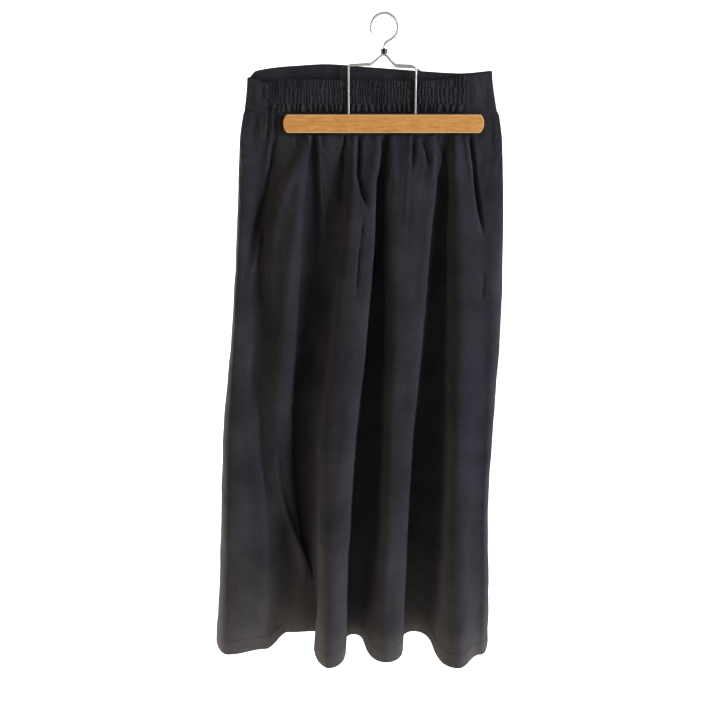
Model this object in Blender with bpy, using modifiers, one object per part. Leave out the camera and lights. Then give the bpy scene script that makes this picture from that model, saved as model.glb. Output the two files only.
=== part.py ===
"""A maxi skirt that hangs from a wooden two-bar clamp hanger.

The skirt has a gathered back panel, a front panel, an elasticated back waistband and a flat front
waistband that wraps round both sides. The two hanger bars press the panels flat just below the
waistband, and the panels open into deep folds on their way down to the hem.

Every size is in millimetres. +X is to the right of somebody who faces the gathered back panel,
-Y is the side of that panel and +Z is up. Heights are measured from the middle of the hanger
bars, and everything hangs from one empty that puts the hook's inside rest point at the origin.
"""

import math
from collections import namedtuple

import bmesh
import bpy

MM = 0.001

# Hanger ----------------------------------------------------------------------------------------
BAR_LENGTH = 320.0
BAR_HEIGHT = 29.0
BAR_THICKNESS = 10.0
BAR_END_LENGTH = 10.0        # how much of each end of a bar is rounded
BAR_END_SQUARENESS = 2.6     # exponent of the rounded end: 2 is an ellipse, more is squarer
BAR_END_STEPS = 6
BAR_EDGE_RADIUS = 2.2
FRAME_WIRE = 3.2             # diameter of the two bent wire frames
HOOK_WIRE = 4.0
HOOK_RADIUS = 21.0           # to the middle of the wire
HOOK_CENTRE = 147.0          # height of the middle of the hook's round
HOOK_ROUND_START = -60.0     # degrees, where the shank's bend meets the round
HOOK_ROUND_END = 205.0
SHANK_BEND = 8.0
FERRULE_RADIUS = 5.5
FERRULE_FOOT = 107.4
FERRULE_TOP = 114.4
HOOK_REST = HOOK_CENTRE + HOOK_RADIUS - HOOK_WIRE / 2   # where a rail touches the hook

# Cloth -----------------------------------------------------------------------------------------
WALL = 1.6                   # two layers of linen at a seam, rounded up to one wall
GAP = 0.3                    # between two pieces that meet
CURVED_GAP = 0.8             # between two curved edges whose facets don't line up
SEAM_DEPTH = GAP / 2         # each panel ends this far from the plane of the side seams
PRESSED = SEAM_DEPTH + WALL  # depth of a panel's outer face between the bars
WAIST_SEAM = 16.0            # height of the panels' top edge
BAR_LEVEL = -16.0            # just under the bars, where the folds begin
HEM = -937.0
HEM_ROWS = 16                # rows of faces from the bars to the hem
ROW_CROWDING = 1.6           # rows stand closer together near the bars

# Waistband -------------------------------------------------------------------------------------
BAND_WIDTH = 58.0
BAND_FOOT = WAIST_SEAM + GAP
BAND_FOOT_DEPTH = 2.1        # outer face at the seam with a panel
BAND_DEPTH = 4.2             # outer face higher up, where the band stands open
BAND_FLARE = 13.0            # height over which it opens
ELASTIC_LEFT = -180.0
ELASTIC_RIGHT = 130.0
RIBS = 60
COLUMNS_PER_RIB = 2
RIBS_PER_PUFF = 2            # the loose strip over the seam puffs out once for two ribs
STITCH_LINES = (30.0, 42.5, 55.0)
STITCH_DEPTH = 4.0
CHANNEL_DEPTH = 5.3
PUFF_DEPTH = 4.7
RIB_RISE = 0.95              # ribs stand this far over and under the channel's depth
PUFF_RISE = 1.1
RIB_WANDER = 0.9             # how far a rib strays sideways between two stitch lines
WIRE_DENT = 1.4              # how far a hanger wire pushes the ribs in
WIRE_DENT_WIDTH = 7.0

# Each fold is one line down a panel. Its x is given at every level below, and so is its depth,
# which is how far the cloth's outer face stands from the plane of the side seams. The flank that
# leads to the fold from its left neighbour has a number of steps, an "upright" share (0 is a soft
# slope, 1 is a steep wall) and a "bulge", a share of its depth by which it leans over to the right.
LEVELS = (WAIST_SEAM, BAR_LEVEL, -90.0, -170.0, -340.0, -520.0, -660.0, -810.0, HEM)
Fold = namedtuple("Fold", "name steps upright bulge x depth")
Seams = namedtuple("Seams", "left right")

SIDE_SEAMS = Seams(
    left=(-224.5, -230, -235, -240, -254, -276, -285, -294, -305),
    right=(184, 190.5, 195, 198.5, 201, 194, 190, 196, 200),
)
SIDE_STEPS = 7

BACK_FOLDS = (
    Fold("left ridge", SIDE_STEPS, 0, 0,
         (-211, -214, -216, -222, -228, -224, -234, -250, -262), (3.5, 5, 13, 21, 35, 49, 60, 71, 80)),
    Fold("left dip", 3, 0, 0,
         (-195, -195, -197, -200, -203, -206, -206, -209, -212), (1.9, 1.9, 8, 13, 22, 39, 50, 60, 64)),
    Fold("inner left ridge", 5, 0, 0,
         (-142, -142, -139, -144, -157, -168, -156, -146, -172), (1.75, 1.75, 15, 26, 38, 40, 30, 15, 7)),
    Fold("left valley", 6, 0.8, 0.1,
         (-118, -118, -113, -110, -127, -133, -131, -122, -118), (1.75, 1.75, 4, 6, 8, 9, 9, 7, 4)),
    Fold("first lobe", 8, 1.0, -0.13,
         (-55, -55, -54, -50, -52, -68, -82, -91, -94), (1.75, 1.75, 17, 29, 50, 72, 89, 106, 122)),
    Fold("first valley", 8, 1.0, 0.08,
         (-1, -1, -6, -8, -15, -25, -32, -41, -50), (1.75, 1.75, 4, 6, 9, 12, 13, 14, 14)),
    Fold("second lobe", 8, 0.5, -0.07,
         (24, 24, 26, 30, 32, 25, 23, 16, 9), (1.75, 1.75, 15, 26, 44, 62, 77, 91, 104)),
    Fold("second valley", 8, 0.9, 0.05,
         (94, 94, 95, 96, 92, 82, 78, 70, 63), (1.75, 1.75, 4, 6, 8, 9, 9, 7, 4)),
    Fold("third lobe", 8, 0.6, -0.02,
         (124, 124, 126, 130, 145, 148, 143, 139, 136), (1.75, 1.75, 17, 29, 50, 72, 89, 106, 122)),
    Fold("right step", 5, 0.4, 0.04,
         (164, 164, 166, 167, 171, 176, 174, 178, 180), (1.75, 1.9, 9, 16, 27, 39, 50, 62, 74)),
)
FRONT_FOLDS = (
    Fold("left ridge", SIDE_STEPS, 0, 0,
         (-190, -190, -196, -204, -216, -228, -236, -244, -252), (2, 3, 9, 15, 25, 34, 40, 47, 52)),
    Fold("left valley", 6, 0.3, 0,
         (-150, -150, -152, -156, -164, -172, -180, -188, -196), (1.75, 1.75, 4, 6, 8, 9, 9, 8, 6)),
    Fold("first lobe", 7, 0.4, 0.02,
         (-96, -96, -98, -102, -108, -114, -120, -126, -130), (1.75, 1.75, 10, 18, 30, 42, 50, 58, 64)),
    Fold("first valley", 7, 0.5, -0.05,
         (-44, -44, -46, -48, -52, -56, -60, -62, -64), (1.75, 1.75, 4, 7, 9, 10, 10, 9, 8)),
    Fold("second lobe", 7, 0.4, -0.04,
         (18, 18, 18, 18, 16, 12, 8, 6, 4), (1.75, 1.75, 9, 16, 28, 38, 45, 52, 57)),
    Fold("second valley", 7, 0.4, 0.03,
         (74, 74, 74, 74, 72, 70, 70, 68, 68), (1.75, 1.75, 4, 6, 8, 9, 9, 8, 6)),
    Fold("third lobe", 7, 0.5, 0.05,
         (136, 136, 137, 138, 140, 141, 140, 140, 142), (1.75, 1.75, 10, 18, 30, 42, 50, 58, 63)),
)

# Top edges of the waistband: x and height of each point that shapes them.
BACK_TOP_EDGE = (
    (-222, 70), (-203, 68), (-191, 63), (-180, 64), (-150, 68), (-62, 67), (10, 66),
    (74, 66.5), (106, 70), (130, 75), (150, 77), (180, 79),
)
FRONT_TOP_EDGE = (
    (-222, 70), (-203, 77.5), (-176, 85), (-136, 89), (-90, 91), (-30, 87), (55, 81),
    (101, 78), (134, 77), (160, 79), (180, 81),
)
# Sides of the waistband: height, x of the left fold and x of the right fold.
BAND_SIDES = ((16, -223.5, 183.5), (31, -219.5, 178), (50, -217.5, 174.5), (68, -216, 172), (85, -215, 171))

# Corners of the hanger's wire frames: x, y, height and the radius of the bend there.
LEG_FOOT = BAR_HEIGHT / 2 + GAP
FRONT_FRAME = (
    (-55.5, -8.0, LEG_FOOT, 0.0), (-55.5, -8.0, 90.0, 4.0), (-21.0, -6.0, 90.5, 9.0),
    (0.0, -2.4, 107.8, 6.0),
    (19.0, -6.0, 87.5, 9.0), (50.5, -8.0, 86.5, 4.0), (50.5, -8.0, LEG_FOOT, 0.0),
)
REAR_FRAME = (
    (-148.0, 7.5, LEG_FOOT, 0.0), (-148.0, 7.5, LEG_FOOT + 6.0, 5.0),
    (-53.0, 7.5, 89.5, 5.0), (-20.0, 6.0, 91.5, 9.0),
    (0.0, 2.4, 107.8, 6.0),
    (19.0, 6.0, 89.5, 9.0), (44.0, 7.5, 88.5, 5.0),
    (148.0, 7.5, LEG_FOOT + 6.0, 5.0), (148.0, 7.5, LEG_FOOT, 0.0),
)
DENTED_AT = (FRONT_FRAME[0][0], FRONT_FRAME[-1][0])
BEND_STEP = 15.0             # degrees of a bend between two points of a wire

# Materials: base colour, roughness, metallic ---------------------------------------------------
Finish = namedtuple("Finish", "colour roughness metallic")
LINEN = Finish((0.020, 0.020, 0.026), 0.9, 0.0)
BEECH = Finish((0.52, 0.27, 0.09), 0.45, 0.0)
STEEL_WIRE = Finish((0.52, 0.51, 0.48), 0.3, 1.0)


def clear_scene():
    """Remove the objects of the scene that the script starts in."""
    for thing in list(bpy.data.objects):
        bpy.data.objects.remove(thing, do_unlink=True)


def make_material(name, finish):
    """Return a Principled material with the finish's colour, roughness and metallic value."""
    material = bpy.data.materials.new(name)
    material.use_nodes = True
    shader = material.node_tree.nodes["Principled BSDF"]
    shader.inputs["Base Color"].default_value = (*finish.colour, 1.0)
    shader.inputs["Roughness"].default_value = finish.roughness
    shader.inputs["Metallic"].default_value = finish.metallic
    return material


def place(thing, finish, collection, hang_point):
    """Give an object its material, its collection and its parent."""
    thing.data.materials.append(make_material(thing.name, finish))
    collection.objects.link(thing)
    thing.parent = hang_point


# Curves through tables -------------------------------------------------------------------------
def smooth_between(stations, values, at):
    """Return the value at one station of a smooth curve through a table's values."""
    count = len(stations)
    falling = stations[0] > stations[-1]
    at = min(max(at, min(stations)), max(stations))
    lower = 0
    while lower < count - 2 and (at < stations[lower + 1] if falling else at > stations[lower + 1]):
        lower += 1

    def slope(index):
        before, after = max(index - 1, 0), min(index + 1, count - 1)
        return (values[after] - values[before]) / (stations[after] - stations[before])

    span = stations[lower + 1] - stations[lower]
    t = (at - stations[lower]) / span
    rise = t * t * (3 - 2 * t)
    return (values[lower] * (1 - rise) + values[lower + 1] * rise
            + slope(lower) * span * t * (1 - t) ** 2
            - slope(lower + 1) * span * t * t * (1 - t))


def edge_height(edge, x):
    """Return the height of a waistband's top edge over one x."""
    return smooth_between([point[0] for point in edge], [point[1] for point in edge], x)


def band_side(height, column):
    """Return the x of the waistband's left (1) or right (2) fold at one height."""
    return smooth_between([row[0] for row in BAND_SIDES], [row[column] for row in BAND_SIDES], height)


def uneven(index, row):
    """Return a value from -1 to 1 that looks irregular and is the same on every run."""
    return math.sin(index * 2.4 + row * 1.7) * math.cos(index * 1.13 - row * 0.6)


# Cloth walls -----------------------------------------------------------------------------------
def side_flank(seam, ridge, depth, steps):
    """Return the outer and inner points from a side seam round to the first ridge.

    Both are quarter rounds. Where the panel is pressed flat the round is nearly a square corner,
    and where the ridge stands well out it is an ellipse.
    """
    direction = 1 if ridge > seam else -1
    reach = abs(ridge - seam)
    power = 0.5 + 0.5 * min(1.0, depth / reach)
    outer, inner = [], []
    for step in range(steps):
        angle = math.pi / 2 * step / steps
        along = 1 - math.cos(angle) ** power
        out = math.sin(angle) ** power
        outer.append((seam + direction * reach * along, SEAM_DEPTH + (depth - SEAM_DEPTH) * out))
        inner.append((seam + direction * (WALL + (reach - WALL) * along),
                      SEAM_DEPTH + (depth - WALL - SEAM_DEPTH) * out))
    return outer, inner


def fold_flank(start, end, fold):
    """Return the outer points from one fold line to the next, without the first."""
    width = end[0] - start[0]
    drop = end[1] - start[1]
    upright = fold.upright * min(1.0, abs(drop) / width)
    points = []
    for step in range(1, fold.steps + 1):
        t = step / fold.steps
        x = start[0] + width * (t + upright * math.sin(2 * math.pi * t) / (2 * math.pi))
        x += fold.bulge * abs(drop) * math.sin(math.pi * t) ** 2
        points.append((x, start[1] + drop * (1 - math.cos(math.pi * t)) / 2))
    return points


def inside_of(points):
    """Return each inner point of a line of outer points, one wall thickness behind it."""
    inner = []
    for index in range(1, len(points) - 1):
        across = points[index + 1][0] - points[index - 1][0]
        out = points[index + 1][1] - points[index - 1][1]
        length = math.hypot(across, out)
        x, depth = points[index]
        inner.append((x + WALL * out / length, depth - WALL * across / length))
    return inner


def panel_section(folds, height):
    """Return the outer and inner points (x, depth) of a panel at one height, seam to seam."""
    left = smooth_between(LEVELS, SIDE_SEAMS.left, height)
    right = smooth_between(LEVELS, SIDE_SEAMS.right, height)
    lines = [(smooth_between(LEVELS, fold.x, height), smooth_between(LEVELS, fold.depth, height))
             for fold in folds]
    left_outer, left_inner = side_flank(left, *lines[0], SIDE_STEPS)
    right_outer, right_inner = side_flank(right, *lines[-1], SIDE_STEPS)
    middle = [lines[0]]
    for start, end, fold in zip(lines, lines[1:], folds[1:]):
        middle += fold_flank(start, end, fold)
    right_outer.reverse()
    right_inner.reverse()
    outer = left_outer + middle + right_outer
    inner = left_inner + inside_of([left_outer[-1], *middle, right_outer[0]]) + right_inner
    return outer, inner


def panel_heights():
    """Return the heights of a panel's rows, closer together near the bars."""
    heights = [WAIST_SEAM]
    for row in range(HEM_ROWS + 1):
        heights.append(BAR_LEVEL + (HEM - BAR_LEVEL) * (row / HEM_ROWS) ** ROW_CROWDING)
    return heights


def wall_object(name, outer_rows, inner_rows):
    """Make one closed wall from rows of outer points and rows of inner points."""
    mesh = bpy.data.meshes.new(name)
    shape = bmesh.new()
    skins = []
    for rows in (outer_rows, inner_rows):
        skins.append([[shape.verts.new([value * MM for value in point]) for point in row]
                      for row in rows])
    outer, inner = skins
    for skin in skins:
        for upper, lower in zip(skin, skin[1:]):
            for column in range(len(upper) - 1):
                shape.faces.new((upper[column], upper[column + 1], lower[column + 1], lower[column]))
    for edge in (0, -1):
        for first, second, third, fourth in zip(outer[edge], outer[edge][1:],
                                                inner[edge][1:], inner[edge]):
            shape.faces.new((first, second, third, fourth))
    for end in (0, -1):
        shape.faces.new([row[end] for row in outer] + [row[end] for row in reversed(inner)])
    bmesh.ops.triangulate(shape, faces=shape.faces, quad_method="BEAUTY")
    bmesh.ops.recalc_face_normals(shape, faces=shape.faces)
    shape.to_mesh(mesh)
    shape.free()
    mesh.shade_smooth()
    mesh.set_sharp_from_angle(angle=math.radians(50))
    return bpy.data.objects.new(name, mesh)


def make_panel(name, folds, side, top_edge):
    """Make a front or back panel. The side is -1 towards the near side and 1 towards the far."""
    outer_rows, inner_rows = [], []
    for height in panel_heights():
        outer, inner = panel_section(folds, height)
        for rows, points in ((outer_rows, outer), (inner_rows, inner)):
            row = []
            for x, depth in points:
                level = top_edge(x) if height == WAIST_SEAM else height
                row.append((x, side * depth, level))
            rows.append(row)
    return wall_object(name, outer_rows, inner_rows)


# Waistband -------------------------------------------------------------------------------------
def front_band_foot(x):
    """Return the height of the front band's lower edge: one band width under its top edge."""
    return max(edge_height(FRONT_TOP_EDGE, x) - BAND_WIDTH, BAND_FOOT)


def band_path(columns_per_length=0.13, turn_steps=6):
    """Return the flat band's way round the waist as (place, share) pairs.

    It runs from the left join on the near side round the left fold, along the far side, round
    the right fold and back to the right join. A share from 0 to 1 is how far a stretch has run.
    """
    lengths = {"near_left": ELASTIC_LEFT - SIDE_SEAMS.left[0], "far": BAR_LENGTH,
               "near_right": SIDE_SEAMS.right[0] - ELASTIC_RIGHT}
    path = []
    for stretch in ("near_left", "left_turn", "far", "right_turn", "near_right"):
        steps = turn_steps if stretch.endswith("turn") else round(lengths[stretch] * columns_per_length)
        path += [(stretch, step / steps) for step in range(steps)]
    path.append(("near_right", 1.0))
    return path


def band_point(stretch, share, fold_x, outer_depth, depth):
    """Return the plan position (x, y) of a point of the flat band at one depth."""
    left = fold_x[0] + outer_depth
    right = fold_x[1] - outer_depth
    joins = (ELASTIC_LEFT - GAP, ELASTIC_RIGHT + GAP)
    if stretch == "near_left":
        return joins[0] + (left - joins[0]) * share, -depth
    if stretch == "near_right":
        return right + (joins[1] - right) * share, -depth
    if stretch == "far":
        return left + (right - left) * share, depth
    angle = math.pi * share
    if stretch == "left_turn":
        return left - depth * math.sin(angle), -depth * math.cos(angle)
    return right + depth * math.sin(angle), depth * math.cos(angle)


def make_front_band():
    """Make the flat waistband: the whole far side, both side folds and a short way back."""
    shares = (0.0, 0.22, 0.5, 0.78, 1.0)
    outer_rows, inner_rows = [], []
    for share in shares:
        outer_row, inner_row = [], []
        for stretch, way in band_path():
            near = stretch.startswith("near")
            guess = band_point(stretch, way, (band_side(BAND_FOOT, 1), band_side(BAND_FOOT, 2)),
                               BAND_DEPTH, BAND_DEPTH)[0]
            edge = BACK_TOP_EDGE if near else FRONT_TOP_EDGE
            foot = BAND_FOOT if near else front_band_foot(guess)
            top = edge_height(edge, guess)
            height = foot + (top - foot) * share
            opening = min(1.0, (height - foot) / BAND_FLARE)
            outer_depth = BAND_FOOT_DEPTH + (BAND_DEPTH - BAND_FOOT_DEPTH) * opening
            fold_x = (band_side(height, 1), band_side(height, 2))
            for row, depth in ((outer_row, outer_depth), (inner_row, outer_depth - WALL)):
                row.append((*band_point(stretch, way, fold_x, outer_depth, depth), height))
        outer_rows.append(outer_row)
        inner_rows.append(inner_row)
    outer_rows.reverse()
    inner_rows.reverse()
    return wall_object("waistband_front", outer_rows, inner_rows)


def elastic_rows(top):
    """Return (height, depth, ripple) of each row of the elastic band, from its foot to its top.

    The ripple is "line" at a stitch line, "puff" in the loose strip over the seam and "rib" in
    the channels.
    """
    rows = [(BAND_FOOT, BAND_FOOT_DEPTH, "line")]
    edges = (BAND_FOOT, *STITCH_LINES, top)
    for lower, upper in zip(edges, edges[1:]):
        loose = lower == BAND_FOOT
        depth = PUFF_DEPTH if loose else CHANNEL_DEPTH
        ripple = "puff" if loose else "rib"
        rows += [(lower + (upper - lower) * share, depth, ripple) for share in (0.3, 0.72)]
        rows.append((upper, STITCH_DEPTH, "line"))
    return rows


def elastic_depth(column, row, depth, ripple, x):
    """Return the depth of the elastic band's outer face at one column and row."""
    variation = 0.75 + 0.25 * uneven(column, row)
    if ripple == "rib":
        depth += RIB_RISE * variation * (1 if column % COLUMNS_PER_RIB else -1)
    if ripple == "puff":
        turn = 2 * math.pi * column / (COLUMNS_PER_RIB * RIBS_PER_PUFF)
        depth += PUFF_RISE * variation * math.sin(turn)
    nearness = max(math.exp(-((x - wire) / WIRE_DENT_WIDTH) ** 2) for wire in DENTED_AT)
    return depth - (WIRE_DENT * nearness if ripple != "line" else 0.0)


def make_elastic_band():
    """Make the ribbed back waistband: raised ribs and puffs over a plain inside."""
    columns = COLUMNS_PER_RIB * RIBS
    outer_rows = [[] for _ in elastic_rows(0)]
    inner_rows = [[] for _ in range(3)]
    for column in range(columns + 1):
        share = column / columns
        x = ELASTIC_LEFT + (ELASTIC_RIGHT - ELASTIC_LEFT) * share
        top = edge_height(BACK_TOP_EDGE, x)
        at_end = column in (0, columns)
        for row, (height, depth, ripple) in enumerate(elastic_rows(top)):
            shift = 0.0 if at_end or ripple == "line" else RIB_WANDER * uneven(column // COLUMNS_PER_RIB, row // 3)
            kind = "line" if at_end else ripple
            depth = elastic_depth(column, row, depth, kind, x)
            outer_rows[row].append((x + shift, -depth, height))
        inside = BAND_DEPTH - WALL
        levels = ((BAND_FOOT, BAND_FOOT_DEPTH - WALL), (BAND_FOOT + BAND_FLARE, inside), (top, inside))
        for row, (height, depth) in zip(inner_rows, levels):
            row.append((x, -depth, height))
    outer_rows.reverse()
    inner_rows.reverse()
    return wall_object("waistband_back_elastic", outer_rows, inner_rows)


# Hanger ----------------------------------------------------------------------------------------
def bar_outline():
    """Return the outline of a bar in its own plane, with a rounded end on each side."""
    straight = BAR_LENGTH / 2 - BAR_END_LENGTH
    power = 2 / BAR_END_SQUARENESS
    end = []
    for step in range(2 * BAR_END_STEPS + 1):
        angle = math.pi / 2 * (step / BAR_END_STEPS - 1)
        x = straight + BAR_END_LENGTH * math.cos(angle) ** power
        z = math.copysign(BAR_HEIGHT / 2 * abs(math.sin(angle)) ** power, angle)
        end.append((x, z))
    return end + [(-x, z) for x, z in reversed(end)]


def make_bar(name, side):
    """Make one hanger bar: a flat outline given its thickness, with rounded edges."""
    data = bpy.data.curves.new(name, "CURVE")
    data.dimensions = "2D"
    data.fill_mode = "BOTH"
    data.extrude = BAR_THICKNESS / 2 * MM
    points = bar_outline()
    spline = data.splines.new("POLY")
    spline.points.add(len(points) - 1)
    for point, (x, z) in zip(spline.points, points):
        point.co = (x * MM, z * MM, 0.0, 1.0)
    spline.use_cyclic_u = True
    bar = bpy.data.objects.new(name, data)
    bar.rotation_euler.x = math.pi / 2
    bar.location.y = side * (PRESSED + GAP + BAR_THICKNESS / 2) * MM
    weld = bar.modifiers.new("join caps", "WELD")
    weld.merge_threshold = 0.00001
    bevel = bar.modifiers.new("rounded edges", "BEVEL")
    bevel.width = BAR_EDGE_RADIUS * MM
    bevel.segments = 2
    bevel.limit_method = "ANGLE"
    bevel.angle_limit = math.radians(50)
    return bar


def bent_route(corners):
    """Return the points of a wire that runs straight between corners and bends at each."""
    route = []
    for index, (*corner, radius) in enumerate(corners):
        if radius == 0.0:
            route.append(corner)
            continue
        before, after = corners[index - 1][:3], corners[index + 1][:3]
        into = [a - b for a, b in zip(corner, before)]
        away = [a - b for a, b in zip(after, corner)]
        into = [value / math.hypot(*into) for value in into]
        away = [value / math.hypot(*away) for value in away]
        turn = math.acos(max(-1.0, min(1.0, sum(a * b for a, b in zip(into, away)))))
        reach = radius * math.tan(turn / 2)
        start = [c - reach * d for c, d in zip(corner, into)]
        side = [(a - b * math.cos(turn)) / math.sin(turn) for a, b in zip(away, into)]
        steps = max(2, round(math.degrees(turn) / BEND_STEP))
        for step in range(steps + 1):
            angle = turn * step / steps
            route.append([s + radius * (math.sin(angle) * d + (1 - math.cos(angle)) * n)
                          for s, d, n in zip(start, into, side)])
    return route


def make_wire(name, route, diameter):
    """Make a round wire along a route."""
    data = bpy.data.curves.new(name, "CURVE")
    data.dimensions = "3D"
    data.bevel_depth = diameter / 2 * MM
    data.bevel_resolution = 2
    data.use_fill_caps = True
    spline = data.splines.new("POLY")
    spline.points.add(len(route) - 1)
    for point, place_on_route in zip(spline.points, route):
        point.co = (*[value * MM for value in place_on_route], 1.0)
    return bpy.data.objects.new(name, data)


def hook_route():
    """Return the hook's points: up the shank, over to the side and round the open circle."""
    start = math.radians(HOOK_ROUND_START)
    meet = (HOOK_RADIUS * math.cos(start), HOOK_CENTRE + HOOK_RADIUS * math.sin(start))
    corner = meet[1] - meet[0] * math.cos(start) / -math.sin(start)
    foot = FERRULE_TOP + GAP
    shank = bent_route(((0.0, 0.0, foot, 0.0), (0.0, 0.0, corner, SHANK_BEND), (meet[0], 0.0, meet[1], 0.0)))
    steps = round((HOOK_ROUND_END - HOOK_ROUND_START) / BEND_STEP)
    for step in range(1, steps + 1):
        angle = math.radians(HOOK_ROUND_START + (HOOK_ROUND_END - HOOK_ROUND_START) * step / steps)
        shank.append((HOOK_RADIUS * math.cos(angle), 0.0, HOOK_CENTRE + HOOK_RADIUS * math.sin(angle)))
    return shank


def make_ferrule():
    """Make the small turned collar under the hook, from a profile that runs top to bottom."""
    height = FERRULE_TOP - FERRULE_FOOT
    profile = ((0.0, height), (FERRULE_RADIUS * 0.72, height), (FERRULE_RADIUS, height * 0.7),
               (FERRULE_RADIUS, height * 0.25), (FERRULE_RADIUS * 0.8, 0.0), (0.0, 0.0))
    mesh = bpy.data.meshes.new("ferrule")
    shape = bmesh.new()
    points = [shape.verts.new((x * MM, 0.0, z * MM)) for x, z in profile]
    for first, second in zip(points, points[1:]):
        shape.edges.new((first, second))
    shape.to_mesh(mesh)
    shape.free()
    ferrule = bpy.data.objects.new("ferrule", mesh)
    ferrule.location.z = FERRULE_FOOT * MM
    screw = ferrule.modifiers.new("turned", "SCREW")
    screw.steps = 20
    screw.render_steps = 20
    screw.use_merge_vertices = True
    screw.merge_threshold = 0.00001
    return ferrule


def main():
    """Build the skirt and its hanger."""
    clear_scene()
    collection = bpy.data.collections.new("maxi_skirt_on_clamp_hanger")
    bpy.context.scene.collection.children.link(collection)
    hang_point = bpy.data.objects.new("bar_line", None)
    hang_point.location.z = -HOOK_REST * MM
    collection.objects.link(hang_point)

    cloth = [
        make_panel("back_panel", BACK_FOLDS, -1, lambda x: WAIST_SEAM),
        make_panel("front_panel", FRONT_FOLDS, 1, lambda x: front_band_foot(x) - CURVED_GAP),
        make_elastic_band(),
        make_front_band(),
    ]
    bars = [make_bar("hanger_bar_near", -1), make_bar("hanger_bar_far", 1)]
    wires = [
        make_wire("wire_frame_near", bent_route(FRONT_FRAME), FRAME_WIRE),
        make_wire("wire_frame_far", bent_route(REAR_FRAME), FRAME_WIRE),
        make_wire("hook", hook_route(), HOOK_WIRE),
        make_ferrule(),
    ]
    for things, finish in ((cloth, LINEN), (bars, BEECH), (wires, STEEL_WIRE)):
        for thing in things:
            place(thing, finish, collection, hang_point)


main()
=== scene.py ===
"""The looks of a maxi skirt that hangs from a wooden two-bar clamp hanger.

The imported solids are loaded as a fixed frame. Each cloth solid is replaced by a thin shell of linen
on the same form, with its creases, gathers, ribs and stitches. The hanger's bars and wires are
modelled again with softer edges. Then come the floor, the lights and the camera.

Sizes are in millimetres, and heights are measured from the middle of the hanger bars. The hanger's
rest point, inside the top of its hook, is the origin of the scene.
"""

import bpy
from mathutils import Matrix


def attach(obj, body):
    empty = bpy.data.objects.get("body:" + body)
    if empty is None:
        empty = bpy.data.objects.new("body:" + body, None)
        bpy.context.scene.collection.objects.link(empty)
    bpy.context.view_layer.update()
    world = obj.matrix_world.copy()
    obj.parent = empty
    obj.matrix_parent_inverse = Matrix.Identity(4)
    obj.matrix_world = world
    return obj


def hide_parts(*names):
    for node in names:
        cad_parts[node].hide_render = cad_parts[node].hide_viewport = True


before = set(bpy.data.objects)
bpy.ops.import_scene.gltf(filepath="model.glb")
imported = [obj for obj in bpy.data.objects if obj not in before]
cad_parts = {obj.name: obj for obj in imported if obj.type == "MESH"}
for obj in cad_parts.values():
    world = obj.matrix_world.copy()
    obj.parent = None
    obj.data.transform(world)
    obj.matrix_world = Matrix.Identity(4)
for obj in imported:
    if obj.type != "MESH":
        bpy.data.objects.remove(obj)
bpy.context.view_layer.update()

import logging
import math
from dataclasses import dataclass, field
from enum import Enum
from functools import partial
from typing import Any, Callable, Sequence

import bpy
import numpy as np
from mathutils import Vector

logging.basicConfig(level=logging.INFO, format="%(name)s: %(message)s")
log = logging.getLogger("skirt")

MM = 0.001
TINY = 1e-9                  # keeps a length that is divided by away from nothing

# Sizes shared by the cloth and the hanger ------------------------------------------------------
HOOK_REST = 166.0            # height of the rest point inside the hook, the scene's origin
BAR_LENGTH = 320.0
BAR_HEIGHT = 29.0
BAR_THICKNESS = 10.0
PRESSED = 1.75               # depth of a panel's outer face between the bars
GAP = 0.3                    # between two pieces that meet
SEAM_DEPTH = -0.2            # each panel runs this far past the plane of the side seams, into the other
WAIST_SEAM = 16.0            # height of the panels' top edge
BAR_LEVEL = -16.0            # just under the bars, where the folds begin
HEM = -937.0
HEM_TURNING = 25.0           # width of the turned-up hem
BAND_WIDTH = 58.0
BAND_FOOT = WAIST_SEAM + GAP
BAND_FOOT_DEPTH = 2.1        # depth of the waistband at the seam with a panel
BAND_DEPTH = 4.2             # depth of the flat waistband higher up, where it stands open
BAND_FLARE = 13.0            # height over which it opens
TUCKED_IN = 2.0              # how far a panel's top edge runs up into the waistband
CLOTH = 0.9                  # thickness of one layer of the linen as it is drawn
BAND_CLOTH = 1.4             # thickness of the waistband, two layers
PROUD = 0.05                 # how far the stitches stand off the cloth that they are sewn through
RIM_ANGLE = 60.0             # degrees; edges of the cloth that are bent more than this stay sharp

# Levels of the fold tables, from the waist seam to the hem, and the side seams' x at each of them.
LEVELS = (WAIST_SEAM, BAR_LEVEL, -36.0, -90.0, -170.0, -340.0, -520.0, -660.0, -810.0, HEM)
LEFT_SEAM = (-223, -229.5, -231.5, -235, -240, -254, -276, -285, -294, -305)
RIGHT_SEAM = (182, 189.5, 191.5, 195, 198.5, 201, 194, 190, 196, 200)

# Top edges of the waistband: x and height of each point that shapes them.
BACK_TOP_EDGE = (
    (-222, 70), (-203, 68), (-191, 63), (-180, 64), (-150, 68), (-62, 67), (10, 66),
    (74, 66.5), (106, 70), (130, 75), (150, 77), (180, 79),
)
FRONT_TOP_EDGE = (
    (-218, 71), (-214, 76.5), (-210, 80), (-203, 82), (-176, 86), (-136, 89), (-90, 91), (-30, 87), (55, 81),
    (101, 78), (134, 77), (160, 79), (180, 81),
)
# Sides of the waistband: height, x of the left fold and x of the right fold.
BAND_SIDES = ((16, -222.5, 181.5), (31, -219.5, 178), (50, -217.5, 174.5), (68, -216, 172), (85, -215, 171))
LEFT, RIGHT = 1, 2           # columns of that table
ELASTIC_LEFT = -180.0
ELASTIC_RIGHT = 130.0

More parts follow.
